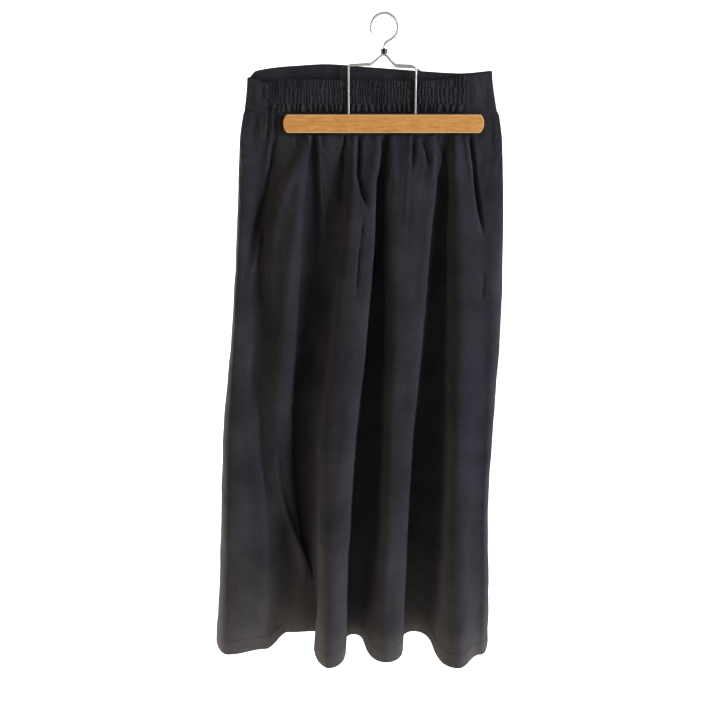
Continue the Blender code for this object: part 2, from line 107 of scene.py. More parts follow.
# The wire frames' wire, and its corners: x, depth, height and the radius of the bend.
FRAME_WIRE = 3.2
HOOK_WIRE = 4.0
LEG_FOOT = BAR_HEIGHT / 2 + GAP
NEAR_FRAME = (
    (-55.5, -8.0, LEG_FOOT, 0.0), (-55.5, -8.0, 90.0, 4.0), (-21.0, -6.0, 90.5, 9.0), (0.0, -2.4, 107.8, 6.0),
    (19.0, -6.0, 87.5, 9.0), (50.5, -8.0, 86.5, 4.0), (50.5, -8.0, LEG_FOOT, 0.0),
)
FAR_FRAME = (
    (-148.0, 7.5, LEG_FOOT, 0.0), (-148.0, 7.5, LEG_FOOT + 6.0, 5.0), (-53.0, 7.5, 89.5, 5.0),
    (-20.0, 6.0, 91.5, 9.0), (0.0, 2.4, 107.8, 6.0), (19.0, 6.0, 89.5, 9.0),
    (44.0, 7.5, 88.5, 5.0), (148.0, 7.5, LEG_FOOT + 6.0, 5.0), (148.0, 7.5, LEG_FOOT, 0.0),
)


class Side(Enum):
    """Which side of the plane of the side seams a piece is on: the sign of its y."""

    NEAR = -1
    FAR = 1


# Small helpers ---------------------------------------------------------------------------------
def between(start: Any, end: Any, share: Any) -> Any:
    """Return the value that lies a share of the way from the start to the end."""
    return start + (end - start) * share


def soft_step(at: np.ndarray, start: float, end: float) -> np.ndarray:
    """Return a value that climbs smoothly from 0 at the start to 1 at the end."""
    t = np.clip((at - start) / (end - start), 0.0, 1.0)
    return t * t * (3 - 2 * t)


def curve_through(stations: Sequence[float], values: Sequence[float], at: np.ndarray | float) -> np.ndarray:
    """Read a smooth curve through a table.

    Args:
        stations: where the table's values stand, rising or falling.
        values: the value at each station.
        at: the places to read.

    Returns:
        The curve's value at each place. Past either end it keeps the end's value.
    """
    order = slice(None) if stations[0] < stations[-1] else slice(None, None, -1)
    knots = np.asarray(stations, float)[order]
    heights = np.asarray(values, float)[order]
    last = len(knots) - 1
    index = np.arange(last + 1)
    before, after = np.maximum(index - 1, 0), np.minimum(index + 1, last)
    slopes = (heights[after] - heights[before]) / (knots[after] - knots[before])
    at = np.clip(np.asarray(at, float), knots[0], knots[-1])
    lower = np.clip(np.searchsorted(knots, at, side="right") - 1, 0, last - 1)
    span = knots[lower + 1] - knots[lower]
    t = (at - knots[lower]) / span
    rise = t * t * (3 - 2 * t)
    return (heights[lower] * (1 - rise) + heights[lower + 1] * rise
            + slopes[lower] * span * t * (1 - t) ** 2 - slopes[lower + 1] * span * t * t * (1 - t))


def edge_height(edge: Sequence[tuple[float, float]], x: np.ndarray | float) -> np.ndarray:
    """Return the height of a waistband's top edge over each x."""
    return curve_through([point[0] for point in edge], [point[1] for point in edge], x)


def band_side(height: np.ndarray | float, column: int) -> np.ndarray:
    """Return the x of the waistband's LEFT or RIGHT fold at each height."""
    return curve_through([row[0] for row in BAND_SIDES], [row[column] for row in BAND_SIDES], height)


def front_band_foot(x: np.ndarray | float) -> np.ndarray:
    """Return the height of the front band's lower edge: one band width under its top edge."""
    return np.maximum(edge_height(FRONT_TOP_EDGE, x) - BAND_WIDTH, BAND_FOOT)


def flat_band_depth(above_foot: np.ndarray) -> np.ndarray:
    """Return the depth of the flat waistband's outer face at each height above its lower edge."""
    return between(BAND_FOOT_DEPTH, BAND_DEPTH, np.minimum(1.0, above_foot / BAND_FLARE))


def run_along(points: np.ndarray) -> np.ndarray:
    """Return how far each point lies along its row, from the row's first point."""
    steps = np.linalg.norm(np.diff(points, axis=-2), axis=-1)
    return np.concatenate([np.zeros(steps.shape[:-1] + (1,)), np.cumsum(steps, axis=-1)], axis=-1)


def to_frame(points: np.ndarray) -> np.ndarray:
    """Turn points in mm from the bars' middle into metres from the rest point inside the hook.

    Args:
        points: x, y and height of each point.

    Returns:
        The points in the scene's frame.
    """
    moved = np.array(points, float)
    moved[..., 2] -= HOOK_REST
    return moved * MM


def grid_normals(points: np.ndarray, side: int) -> np.ndarray:
    """Return the outward unit normals of a grid of points.

    Args:
        points: rows from top to bottom and columns from left to right.
        side: -1 where the near side (-Y) is outside and 1 where the far side is.

    Returns:
        One unit vector for each point.
    """
    across = np.gradient(points, axis=1)
    down = np.gradient(points, axis=0)
    normals = np.cross(across, down) * side
    return normals / np.maximum(np.linalg.norm(normals, axis=-1, keepdims=True), TINY)


@dataclass(frozen=True)
class Waves:
    """Gentle uneven waves over the cloth.

    Attributes:
        height: how high they rise and fall, in mm.
        length: the usual distance from one wave to the next, in mm.
        lean: how many times longer the waves are down the cloth than across.
    """

    height: float
    length: float
    lean: float = 1.0
    count: int = 11
    spread: tuple[float, float] = (0.7, 1.6)     # the shortest and the longest, in usual lengths

    def over(self, u: np.ndarray, v: np.ndarray, seed: int) -> np.ndarray:
        """Lay the waves over the cloth.

        Args:
            u: place across the cloth, in mm.
            v: place down the cloth, in mm.
            seed: start of the random numbers, so that each run gives the same waves.

        Returns:
            The height of the waves at each place.
        """
        random = np.random.default_rng(seed)
        total = np.zeros(np.broadcast(u, v).shape)
        for _ in range(self.count):
            angle = random.uniform(0, math.pi)
            pace = 2 * math.pi / (self.length * random.uniform(*self.spread))
            phase = random.uniform(0, 2 * math.pi)
            total += np.sin(pace * (u * math.cos(angle) + v * math.sin(angle) / self.lean) + phase)
        return self.height * total / math.sqrt(self.count)


# Modelling by hand -----------------------------------------------------------------------------
def only(piece: bpy.types.Object) -> None:
    """Select one object and make it the active one.

    Args:
        piece: the object.
    """
    bpy.ops.object.select_all(action="DESELECT")
    piece.select_set(True)
    bpy.context.view_layer.objects.active = piece


def rest_at_origin(piece: bpy.types.Object) -> None:
    """Put an object's place, turn and scale into its mesh."""
    only(piece)
    bpy.ops.object.transform_apply(location=True, rotation=True, scale=True)


def begin(name: str, add: Callable[..., Any], **shape: Any) -> bpy.types.Object:
    """Add the primitive that a piece is modelled from.

    Args:
        name: the piece's name.
        add: the operator that adds the primitive.
        shape: the operator's settings.

    Returns:
        The new object, at the origin, with its place in its mesh.
    """
    bpy.ops.object.select_all(action="DESELECT")
    add(**shape)
    piece = bpy.context.object
    piece.name = name
    piece.data.name = name
    rest_at_origin(piece)
    return piece


def apply_modifier(piece: bpy.types.Object, kind: str, **settings: Any) -> None:
    """Add a modifier with its settings and apply it.

    Args:
        piece: the object.
        kind: the modifier's type.
        settings: its properties.
    """
    only(piece)
    modifier = piece.modifiers.new(kind.lower(), kind)
    for setting, value in settings.items():
        setattr(modifier, setting, value)
    bpy.ops.object.modifier_apply(modifier=modifier.name)


@dataclass(frozen=True)
class Edge:
    """An edge of a mesh: its two ends, and the angle in degrees between the faces that it joins."""

    ends: tuple[Vector, Vector]
    angle: float

    def reach(self, axis: str) -> float:
        """Return how far the edge reaches along one axis, in mm."""
        return abs(getattr(self.ends[0], axis) - getattr(self.ends[1], axis)) / MM

    def lies_at(self, height: float, slack: float = 0.05) -> bool:
        """Return whether both ends are at a height, in mm from the bars' middle."""
        return all(abs(end.z / MM + HOOK_REST - height) < slack for end in self.ends)


def pick(piece: bpy.types.Object, kind: str, test: Callable[[Any], bool]) -> None:
    """Select the faces or edges of the mesh in edit mode that pass a test, and nothing else.

    Args:
        piece: the object in edit mode.
        kind: "FACE" or "EDGE".
        test: takes a polygon, or an Edge.
    """
    bpy.ops.mesh.select_mode(type=kind)
    bpy.ops.mesh.select_all(action="DESELECT")
    bpy.ops.object.mode_set(mode="OBJECT")
    mesh = piece.data
    if kind == "FACE":
        for polygon in mesh.polygons:
            polygon.select = test(polygon)
    else:
        normals: dict[tuple[int, int], list[Vector]] = {}
        for polygon in mesh.polygons:
            for key in polygon.edge_keys:
                normals.setdefault(key, []).append(polygon.normal.copy())
        for edge in mesh.edges:
            beside = normals.get(edge.key, [])
            angle = math.degrees(beside[0].angle(beside[1], 0.0)) if len(beside) == 2 else 0.0
            edge.select = test(Edge(tuple(mesh.vertices[number].co for number in edge.vertices), angle))
    bpy.ops.object.mode_set(mode="EDIT")


def turn_outwards() -> None:
    """Turn all faces of the mesh in edit mode outwards."""
    bpy.ops.mesh.select_all(action="SELECT")
    bpy.ops.mesh.normals_make_consistent(inside=False)


def smooth_under(piece: bpy.types.Object, degrees: float) -> None:
    """Leave edit mode and shade the piece smooth.

    Args:
        piece: the object in edit mode.
        degrees: edges that are bent more than this stay sharp.
    """
    bpy.ops.object.mode_set(mode="OBJECT")
    only(piece)
    bpy.ops.object.shade_smooth_by_angle(angle=math.radians(degrees))


def link_mesh(name: str, mesh: bpy.types.Mesh) -> bpy.types.Object:
    """Make an object of a mesh and put it in the scene.

    Args:
        name: the piece's name.
        mesh: its mesh.

    Returns:
        The new object.
    """
    piece = bpy.data.objects.new(name, mesh)
    bpy.context.collection.objects.link(piece)
    return piece


def dress(piece: bpy.types.Object, material: bpy.types.Material) -> None:
    """Give a piece its material and let it ride on the part's one body.

    Args:
        piece: the finished piece.
        material: its material.
    """
    piece.data.materials.clear()
    piece.data.materials.append(material)
    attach(piece, "root")
    log.info("%s: %d faces", piece.name, len(piece.data.polygons))


def cloth_shell(name: str, points: np.ndarray, cloth_mm: np.ndarray, side: int,
                thickness: float) -> bpy.types.Object:
    """Make a shell of cloth from the grid of points on its outer face.

    Args:
        name: the piece's name.
        points: rows from top to bottom and columns from left to right, in mm from the bars.
        cloth_mm: each point's place on the cloth, for the weave, in mm.
        side: -1 where the near side is outside and 1 where the far side is.
        thickness: of the shell, inwards from the face that shows.

    Returns:
        The new object, with a UV map in metres of cloth.
    """
    rows, columns = points.shape[:2]
    index = np.arange(rows * columns).reshape(rows, columns)
    corners = [index[:-1, :-1], index[1:, :-1], index[1:, 1:], index[:-1, 1:]]
    if side > 0:
        corners.reverse()
    faces = np.stack([corner.ravel() for corner in corners], axis=-1)
    mesh = bpy.data.meshes.new(name)
    mesh.vertices.add(rows * columns)
    mesh.vertices.foreach_set("co", to_frame(points).ravel())
    mesh.loops.add(faces.size)
    mesh.loops.foreach_set("vertex_index", faces.ravel())
    mesh.polygons.add(len(faces))
    mesh.polygons.foreach_set("loop_start", np.arange(0, faces.size, len(corners)))
    mesh.uv_layers.new(name="cloth").data.foreach_set("uv", (cloth_mm.reshape(-1, 2)[faces] * MM).ravel())
    mesh.update(calc_edges=True)
    mesh.validate()
    mesh.shade_smooth()
    shell = link_mesh(name, mesh)
    apply_modifier(shell, "SOLIDIFY", thickness=thickness * MM, offset=-1.0, use_rim=True)
    shell.data.set_sharp_from_angle(angle=math.radians(RIM_ANGLE))
    return shell


# Finishes --------------------------------------------------------------------------------------
MIX_FROM, MIX_TO, MIXED = 6, 7, 2        # the colour sockets of a Mix node
SECOND, THIRD = 1, 2                     # inputs of a Math or a Mix Shader node, after input 0
WAVE_RADIANS = 20.0                      # of a Wave texture's bands in a metre, at a scale of 1
WHITE = "FFFFFF"


def linear(hexadecimal: str) -> tuple[float, float, float, float]:
    """Turn an sRGB colour into the linear colour that a shader takes.

    Args:
        hexadecimal: the colour, such as "2F2E36".

    Returns:
        Red, green, blue and a full alpha.
    """
    channels = [int(hexadecimal[place:place + 2], 16) / 255 for place in (0, 2, 4)]
    low, knee, power = 12.92, 0.04045, 2.4
    red, green, blue = (c / low if c <= knee else ((c + 0.055) / 1.055) ** power for c in channels)
    return red, green, blue, 1.0


def settle(node: bpy.types.Node, settings: dict[str | int, Any]) -> None:
    """Set a shader node's properties and inputs.

    Args:
        node: the node.
        settings: properties of the node, and inputs under their names or numbers. An input takes a
            value, or another node's output to be linked to it.
    """
    for key, value in settings.items():
        if isinstance(value, bpy.types.NodeSocket):
            node.id_data.links.new(value, node.inputs[key])
        elif isinstance(key, str) and hasattr(node, key):
            setattr(node, key, value)
        else:
            node.inputs[key].default_value = value


def add_node(tree: bpy.types.NodeTree, kind: str, settings: dict[str | int, Any]) -> bpy.types.Node:
    """Add one shader node.

    Args:
        tree: the material's node tree.
        kind: the node's type, without the word ShaderNode.
        settings: as settle() takes them.

    Returns:
        The new node.
    """
    node = tree.nodes.new(f"ShaderNode{kind}")
    settle(node, settings)
    return node


def bare_material(name: str) -> tuple[bpy.types.Material, Callable[..., bpy.types.Node], bpy.types.Node]:
    """Start a material.

    Args:
        name: the material's name.

    Returns:
        The new material, the function that adds a node to it, and its Principled shader.
    """
    material = bpy.data.materials.new(name)
    material.use_nodes = True
    return material, partial(add_node, material.node_tree), material.node_tree.nodes["Principled BSDF"]


@dataclass(frozen=True)
class Linen:
    """Plain-weave linen, piece-dyed near black: matt, with slubs and a faint cool bloom of lint.

    Real threads are about 0.5 mm apart, finer than a render of the whole skirt can show, so the
    weave is drawn at twice that pitch.
    """

    name: str = "linen_plain_weave_charcoal"
    yarn: str = "3A3A3C"
    faded: str = "49494A"
    lint: str = "C9C8E0"
    thread_pitch: float = 1.1
    slub_length: float = 26.0
    lint_patch: float = 90.0
    relief: float = 0.14         # depth of the weave
    slub_colour: float = 0.75    # how much the slubs change the colour, next to the lint
    slub_relief: float = 0.6     # how much they stand out, next to the weave

    def material(self) -> bpy.types.Material:
        """Weave the linen along the cloth's own UV map.

        Returns:
            The linen's material.
        """
        material, add, shader = bare_material(self.name)
        cloth = add("UVMap", {"uv_map": "cloth"}).outputs["UV"]
        across, along = 1 / (self.thread_pitch * MM), 1 / (self.slub_length * MM)
        waves, slubs = [], []
        for turned in (0.0, math.pi / 2):
            turn = add("Mapping", {"Rotation": (0, 0, turned), "Vector": cloth}).outputs["Vector"]
            wave = add("TexWave", {
                "wave_type": "BANDS", "bands_direction": "X", "Scale": across / WAVE_RADIANS * math.pi,
                "Distortion": 1.2, "Detail": 2.0, "Detail Scale": 0.6, "Vector": turn})
            stretch = add("Mapping", {"Scale": (across, along, 1.0), "Vector": turn})
            slub = add("TexNoise", {
                "Scale": 0.8, "Detail": 2.0, "Roughness": 0.6, "Vector": stretch.outputs["Vector"]})
            waves.append(wave.outputs["Fac"])
            slubs.append(slub.outputs["Fac"])
        weave = add("Math", {"operation": "MULTIPLY", 0: waves[0], SECOND: waves[1]}).outputs[0]
        slub = add("Math", {"operation": "MAXIMUM", 0: slubs[0], SECOND: slubs[1]}).outputs[0]
        lint = add("TexNoise", {
            "Scale": 1 / (self.lint_patch * MM), "Detail": 4.0, "Roughness": 0.55, "Vector": cloth})
        mixed = add("Math", {
            "operation": "MULTIPLY_ADD", 0: slub, SECOND: self.slub_colour, THIRD: lint.outputs["Fac"]})
        worn = add("MapRange", {"From Min": 0.72, "From Max": 1.12, "Value": mixed.outputs[0]})
        colour = add("Mix", {"data_type": "RGBA", 0: worn.outputs["Result"],
                             MIX_FROM: linear(self.yarn), MIX_TO: linear(self.faded)})
        height = add("Math", {"operation": "MULTIPLY_ADD", 0: slub, SECOND: self.slub_relief, THIRD: weave})
        bump = add("Bump", {"Strength": 0.35, "Distance": self.relief * MM, "Height": height.outputs[0]})
        settle(shader, {
            "Base Color": colour.outputs[MIXED], "Normal": bump.outputs["Normal"], "Roughness": 0.92,
            "Specular IOR Level": 0.25, "Sheen Weight": 0.12, "Sheen Roughness": 0.45,
            "Sheen Tint": linear(self.lint)})
        return material


@dataclass(frozen=True)
class LinenThread:
    """Spun polyester sewing thread in the cloth's colour: a little smoother than the linen."""

    name: str = "polyester_thread_charcoal"
    colour: str = "3E3D47"
    highlight: str = "4A4954"
    ply_pitch: float = 0.9

    def material(self) -> bpy.types.Material:
        """Spin the thread from slanting plies.

        Returns:
            The thread's material.
        """
        material, add, shader = bare_material(self.name)
        place = add("TexCoord", {}).outputs["Object"]
        scale = 1 / (self.ply_pitch * MM) / WAVE_RADIANS * math.pi
        plies = add("TexWave", {"bands_direction": "DIAGONAL", "Scale": scale, "Vector": place})
        colour = add("Mix", {"data_type": "RGBA", 0: plies.outputs["Fac"],
                             MIX_FROM: linear(self.colour), MIX_TO: linear(self.highlight)})
        settle(shader, {"Base Color": colour.outputs[MIXED], "Roughness": 0.6})
        return material


@dataclass(frozen=True)
class LacqueredBeech:
    """Golden beech under clear satin lacquer: fine grain along the bar, short darker flecks."""

    name: str = "beech_clear_lacquer"
    wood: str = "CF9650"
    pale: str = "DEB274"
    fleck: str = "B57C3B"
    # painted highlight: the pale colour laid along the bar's top and bottom edges, where the lacquer catches
    # the light
    edge_highlight: str = "E9CDA4"
    grain: tuple[float, float] = (60.0, 1.6)     # length and width of one streak
    flecks: tuple[float, float] = (9.0, 0.7)
    figure: tuple[float, float] = (20.0, 4.0)
    pores: float = 0.1           # depth of the grain
    highlight_band: tuple[float, float] = (2.6, 0.6)        # painted highlight along the long edges: from an edge, where it begins to pale, and where it is palest

    def material(self) -> bpy.types.Material:
        """Grow the wood along the bar, and paint a paler highlight along its long edges.

        Returns:
            The wood's material.
        """
        material, add, shader = bare_material(self.name)
        place = add("TexCoord", {}).outputs["Object"]
        layers = []
        for length, width in (self.grain, self.flecks, self.figure):
            along = add("Mapping", {
                "Scale": (1 / (length * MM), 1 / (width * MM), 1 / (width * MM)), "Vector": place})
            layers.append(add("TexNoise", {"Scale": 1.0, "Detail": 3.0, "Roughness": 0.6,
                                           "Vector": along.outputs["Vector"]}).outputs["Fac"])
        grain, flecks, figure = layers
        height = add("SeparateXYZ", {"Vector": place}).outputs["Z"]
        centred = add("Math", {"operation": "ADD", 0: height, SECOND: HOOK_REST * MM})
        off_middle = add("Math", {"operation": "ABSOLUTE", 0: centred.outputs[0]}).outputs[0]
        blend = add("MapRange", {"From Min": 0.32, "From Max": 0.68, "Value": figure})
        wood = add("Mix", {"data_type": "RGBA", 0: blend.outputs["Result"],
                           MIX_FROM: linear(self.wood), MIX_TO: linear(self.pale)})
        # painted highlight: the colour pales towards the top and bottom edges, as if the light caught them
        # there
        highlight_begins, highlight_ends = ((BAR_HEIGHT / 2 - margin) * MM for margin in self.highlight_band)
        for pattern, start, end, most, shade in ((grain, 0.52, 0.72, 0.55, self.fleck),
                                                 (flecks, 0.6, 0.7, 0.5, self.fleck),
                                                 (off_middle, highlight_begins, highlight_ends, 0.7, self.edge_highlight)):
            share = add("MapRange", {"From Min": start, "From Max": end, "To Max": most, "Value": pattern})
            wood = add("Mix", {"data_type": "RGBA", 0: share.outputs["Result"],
                               MIX_FROM: wood.outputs[MIXED], MIX_TO: linear(shade)})
        bump = add("Bump", {"Strength": 0.25, "Distance": self.pores * MM, "Height": grain})
        settle(shader, {"Base Color": wood.outputs[MIXED], "Normal": bump.outputs["Normal"],
                        "Roughness": 0.42, "Coat Weight": 0.35, "Coat Roughness": 0.25})
        return material


@dataclass(frozen=True)
class NickelledWire:
    """Drawn steel wire, nickel plated: light grey and softly shining, partly matt where it is pitted."""

    name: str = "nickel_plated_steel_wire"
    bright: str = "DDDBD4"
    dull: str = "BDBAB1"
    patch: float = 7.0
    shine: float = 0.5

    def material(self) -> bpy.types.Material:
        """Plate the wire, with small dull patches in the plating.

        Returns:
            The wire's material.
        """
        material, add, shader = bare_material(self.name)
        place = add("TexCoord", {}).outputs["Object"]
        patches = add("TexNoise", {
            "Scale": 1 / (self.patch * MM), "Detail": 4.0, "Vector": place}).outputs["Fac"]
        colour = add("Mix", {"data_type": "RGBA", 0: patches,
                             MIX_FROM: linear(self.dull), MIX_TO: linear(self.bright)})
        rough = add("MapRange", {"To Min": 0.42, "To Max": 0.28, "Value": patches})
        settle(shader, {"Base Color": colour.outputs[MIXED], "Roughness": rough.outputs["Result"],
                        "Metallic": self.shine})
        return material


@dataclass(frozen=True)
class StudioPaper:
    """Matt white paper with a faint tooth: plain white to the camera, pale paper to the light."""

    name: str = "studio_paper_white"
    sheet: str = "F2F2F2"
    tooth: str = "EEEEEE"
    tooth_size: float = 10 / 3
    glow: float = 1.1

    def material(self) -> bpy.types.Material:
        """Roll the paper, and make it glow where the camera sees it.

        Returns:
            The paper's material.
        """
        material, add, shader = bare_material(self.name)
        place = add("TexCoord", {}).outputs["Object"]
        speckle = add("TexNoise", {"Scale": 1 / (self.tooth_size * MM), "Detail": 2.0, "Vector": place})
        colour = add("Mix", {"data_type": "RGBA", 0: speckle.outputs["Fac"],
                             MIX_FROM: linear(self.sheet), MIX_TO: linear(self.tooth)})
        settle(shader, {"Base Color": colour.outputs[MIXED], "Roughness": 1.0, "Specular IOR Level": 0.0})
        seen = add("LightPath", {}).outputs["Is Camera Ray"]
        glow = add("Emission", {"Color": linear(WHITE), "Strength": self.glow}).outputs["Emission"]
        both = add("MixShader", {0: seen, SECOND: shader.outputs["BSDF"], THIRD: glow})
        settle(material.node_tree.nodes["Material Output"], {"Surface": both.outputs["Shader"]})
        return material


# Folds and creases -----------------------------------------------------------------------------
@dataclass(frozen=True)
class FoldLine:
    """One line down a panel, and the stretch of cloth that leads to it from its left neighbour.

    Attributes:
        name: what a maker would call the line.
        columns: of the mesh, over the stretch.
        upright: 0 where the stretch is a soft slope and 1 where it is a steep wall.
        bulge: the share of the slope's depth by which its middle is moved to the right.
        x: of the line at every level.
        depth: how far the cloth's outer face stands from the plane of the side seams, at every level.
    """

    name: str
    columns: int
    upright: float
    bulge: tuple[float, ...]
    x: tuple[float, ...]
    depth: tuple[float, ...]


@dataclass(frozen=True)
class Crease:
    """A soft ridge or trough along a line on a panel, seen from in front.

    Attributes:
        path: x and height of the points that the line runs through, from the top down.
        rise: height out of the cloth at its strongest; a trough's is negative.
        left: width of its left slope.
        right: width of its right slope. A slope much narrower than the other one makes a pleat.
        spread: how many times wider the slopes are at the line's lower end than at its top.
        fade: lengths over which it grows from nothing at its top and dies away at its foot.
    """

    path: tuple[tuple[float, float], ...]
    rise: float
    left: float
    right: float
    spread: float = 1.0
    fade: tuple[float, float] = (8.0, 40.0)

    def height(self, x: np.ndarray, z: np.ndarray) -> np.ndarray:
        """Work out the crease's relief.

        Args:
            x: of the places, seen from in front.
            z: height of the places.

        Returns:
            How far the crease lifts the cloth at each place.
        """
        nearest = np.full(x.shape, np.inf)
        beside = np.zeros(x.shape)
        along = np.zeros(x.shape)
        whole = sum(math.dist(*ends) for ends in zip(self.path, self.path[1:]))
        run = 0.0
        for (x0, z0), (x1, z1) in zip(self.path, self.path[1:]):
            length = math.dist((x0, z0), (x1, z1))
            dx, dz = (x1 - x0) / length, (z1 - z0) / length
            reach = np.clip((x - x0) * dx + (z - z0) * dz, 0.0, length)
            gap = np.hypot(x - x0 - reach * dx, z - z0 - reach * dz)
            closer = gap < nearest
            nearest = np.where(closer, gap, nearest)
            beside = np.where(closer, -dz * (x - x0) + dx * (z - z0), beside)
            along = np.where(closer, run + reach, along)
            run += length
        width = np.where(beside < 0, self.left, self.right) * (1 + (self.spread - 1) * along / whole)
        grown = soft_step(along, 0.0, self.fade[0]) * soft_step(whole - along, 0.0, self.fade[1])
        return self.rise * grown * np.exp(-(nearest / width) ** 2)


# Folds of the near panel, from left to right, each with its x and its depth at every level.
NO_BULGE = (0.0,) * len(LEVELS)
NEAR_FOLDS = (
    FoldLine("left ridge", 20, 0, NO_BULGE,
             (-216, -221, -222, -226, -232, -246, -257, -263, -269, -276),
             (3.5, 5, 8.5, 15.5, 24, 36, 48, 58, 70, 80)),
    FoldLine("left dip", 11, 0, NO_BULGE,
             (-195, -195, -195, -196, -200, -205, -211, -208, -208, -210),
             (1.9, 1.9, 3.6, 6.5, 9, 18, 34, 47, 58, 62)),
    FoldLine("inner left ridge", 33, 0, NO_BULGE,
             (-138, -138, -138, -147, -159, -163, -177, -167, -150, -172),
             (1.75, 1.75, 9.5, 20, 30, 39, 40, 30, 15, 7)),
    FoldLine("left valley", 17, 0.9, (0, 0, 0, -0.1, 0.1, 0, 0.1, 0.1, 0.1, 0.1),
             (-116, -116, -116, -113, -114, -127, -141, -140, -124, -118),
             (1.75, 1.75, 1.5, 2, 3, 6, 8.5, 7, 6, 4)),
    FoldLine("first lobe", 44, 0.75, (0, 0, 1.7, 0.8, 0.34, 0.12, 0.05, 0.03, -0.04, -0.13),
             (-46, -46, -46, -44, -44, -56, -72, -83, -91, -94),
             (1.75, 1.75, 11, 26, 39, 56, 74, 89, 106, 122)),
    FoldLine("first valley", 34, 1.0, (0, 0, 1.5, 0.52, 0.26, 0.2, 0.08, 0.06, 0.08, 0.08),
             (4, 4, 3, -2, -6, -13, -25, -32, -41, -50),
             (1.75, 1.75, 1.5, 2, 3, 7, 12, 13, 14, 14)),
    FoldLine("second lobe", 24, 0.5, (0, 0, -0.6, -0.42, -0.28, -0.04, 0.08, 0.08, 0.0, -0.07),
             (24, 24, 24, 25, 27, 26, 20, 18, 14, 9),
             (1.75, 1.75, 9, 19, 29, 45, 62, 77, 91, 104)),
    FoldLine("second valley", 54, 1.0, (0, 0, 3.0, 1.3, 0.54, 0.22, 0.05, 0.0, 0.02, 0.05),
             (95, 95, 97, 98, 97, 95, 84, 78, 70, 63),
             (1.75, 1.75, 1.5, 2, 3, 6, 8.5, 9, 7, 4)),
    FoldLine("third lobe", 28, 0.6, (0, 0, -0.8, -0.3, -0.2, -0.06, 0.06, 0.06, 0.02, -0.02),
             (124, 124, 124, 127, 128, 132, 133, 133, 135, 136),
             (1.75, 1.75, 10, 20, 32, 51, 72, 89, 106, 122)),
    FoldLine("right step", 24, 0.0, NO_BULGE,
             (164, 164, 165, 169, 173, 177, 178, 176, 180, 180),
             (1.75, 1.9, 7, 14, 24, 41, 59, 73, 82, 80)),
)
# Folds of the far panel, which is only slightly fuller than the waist.
FAR_FOLDS = (
    FoldLine("left ridge", 16, 0, NO_BULGE,
             (-190, -190, -191.5, -196, -204, -216, -228, -236, -244, -252),
             (2, 3, 5.5, 9, 15, 25, 34, 40, 47, 52)),
    FoldLine("left valley", 18, 0.3, NO_BULGE,
             (-150, -150, -150.5, -152, -156, -164, -172, -180, -188, -196),
             (1.75, 1.75, 3, 4, 6, 8, 9, 9, 8, 6)),
    FoldLine("first lobe", 22, 0.4, (0.02,) * len(LEVELS),
             (-96, -96, -96.5, -98, -102, -108, -114, -120, -126, -130),
             (1.75, 1.75, 5.5, 10, 18, 30, 42, 50, 58, 64)),
    FoldLine("first valley", 22, 0.5, (-0.05,) * len(LEVELS),
             (-44, -44, -44.5, -46, -48, -52, -56, -60, -62, -64),
             (1.75, 1.75, 3, 4, 7, 9, 10, 10, 9, 8)),
    FoldLine("second lobe", 24, 0.4, (-0.04,) * len(LEVELS),
             (18, 18, 18, 18, 18, 16, 12, 8, 6, 4),
             (1.75, 1.75, 5, 9, 16, 28, 38, 45, 52, 57)),
    FoldLine("second valley", 22, 0.4, (0.03,) * len(LEVELS),
             (74, 74, 74, 74, 74, 72, 70, 70, 68, 68),
             (1.75, 1.75, 3, 4, 6, 8, 9, 9, 8, 6)),
    FoldLine("third lobe", 24, 0.5, (0.05,) * len(LEVELS),
             (136, 136, 136, 137, 138, 140, 141, 140, 140, 142),
             (1.75, 1.75, 5.5, 10, 18, 30, 42, 50, 58, 63)),
)

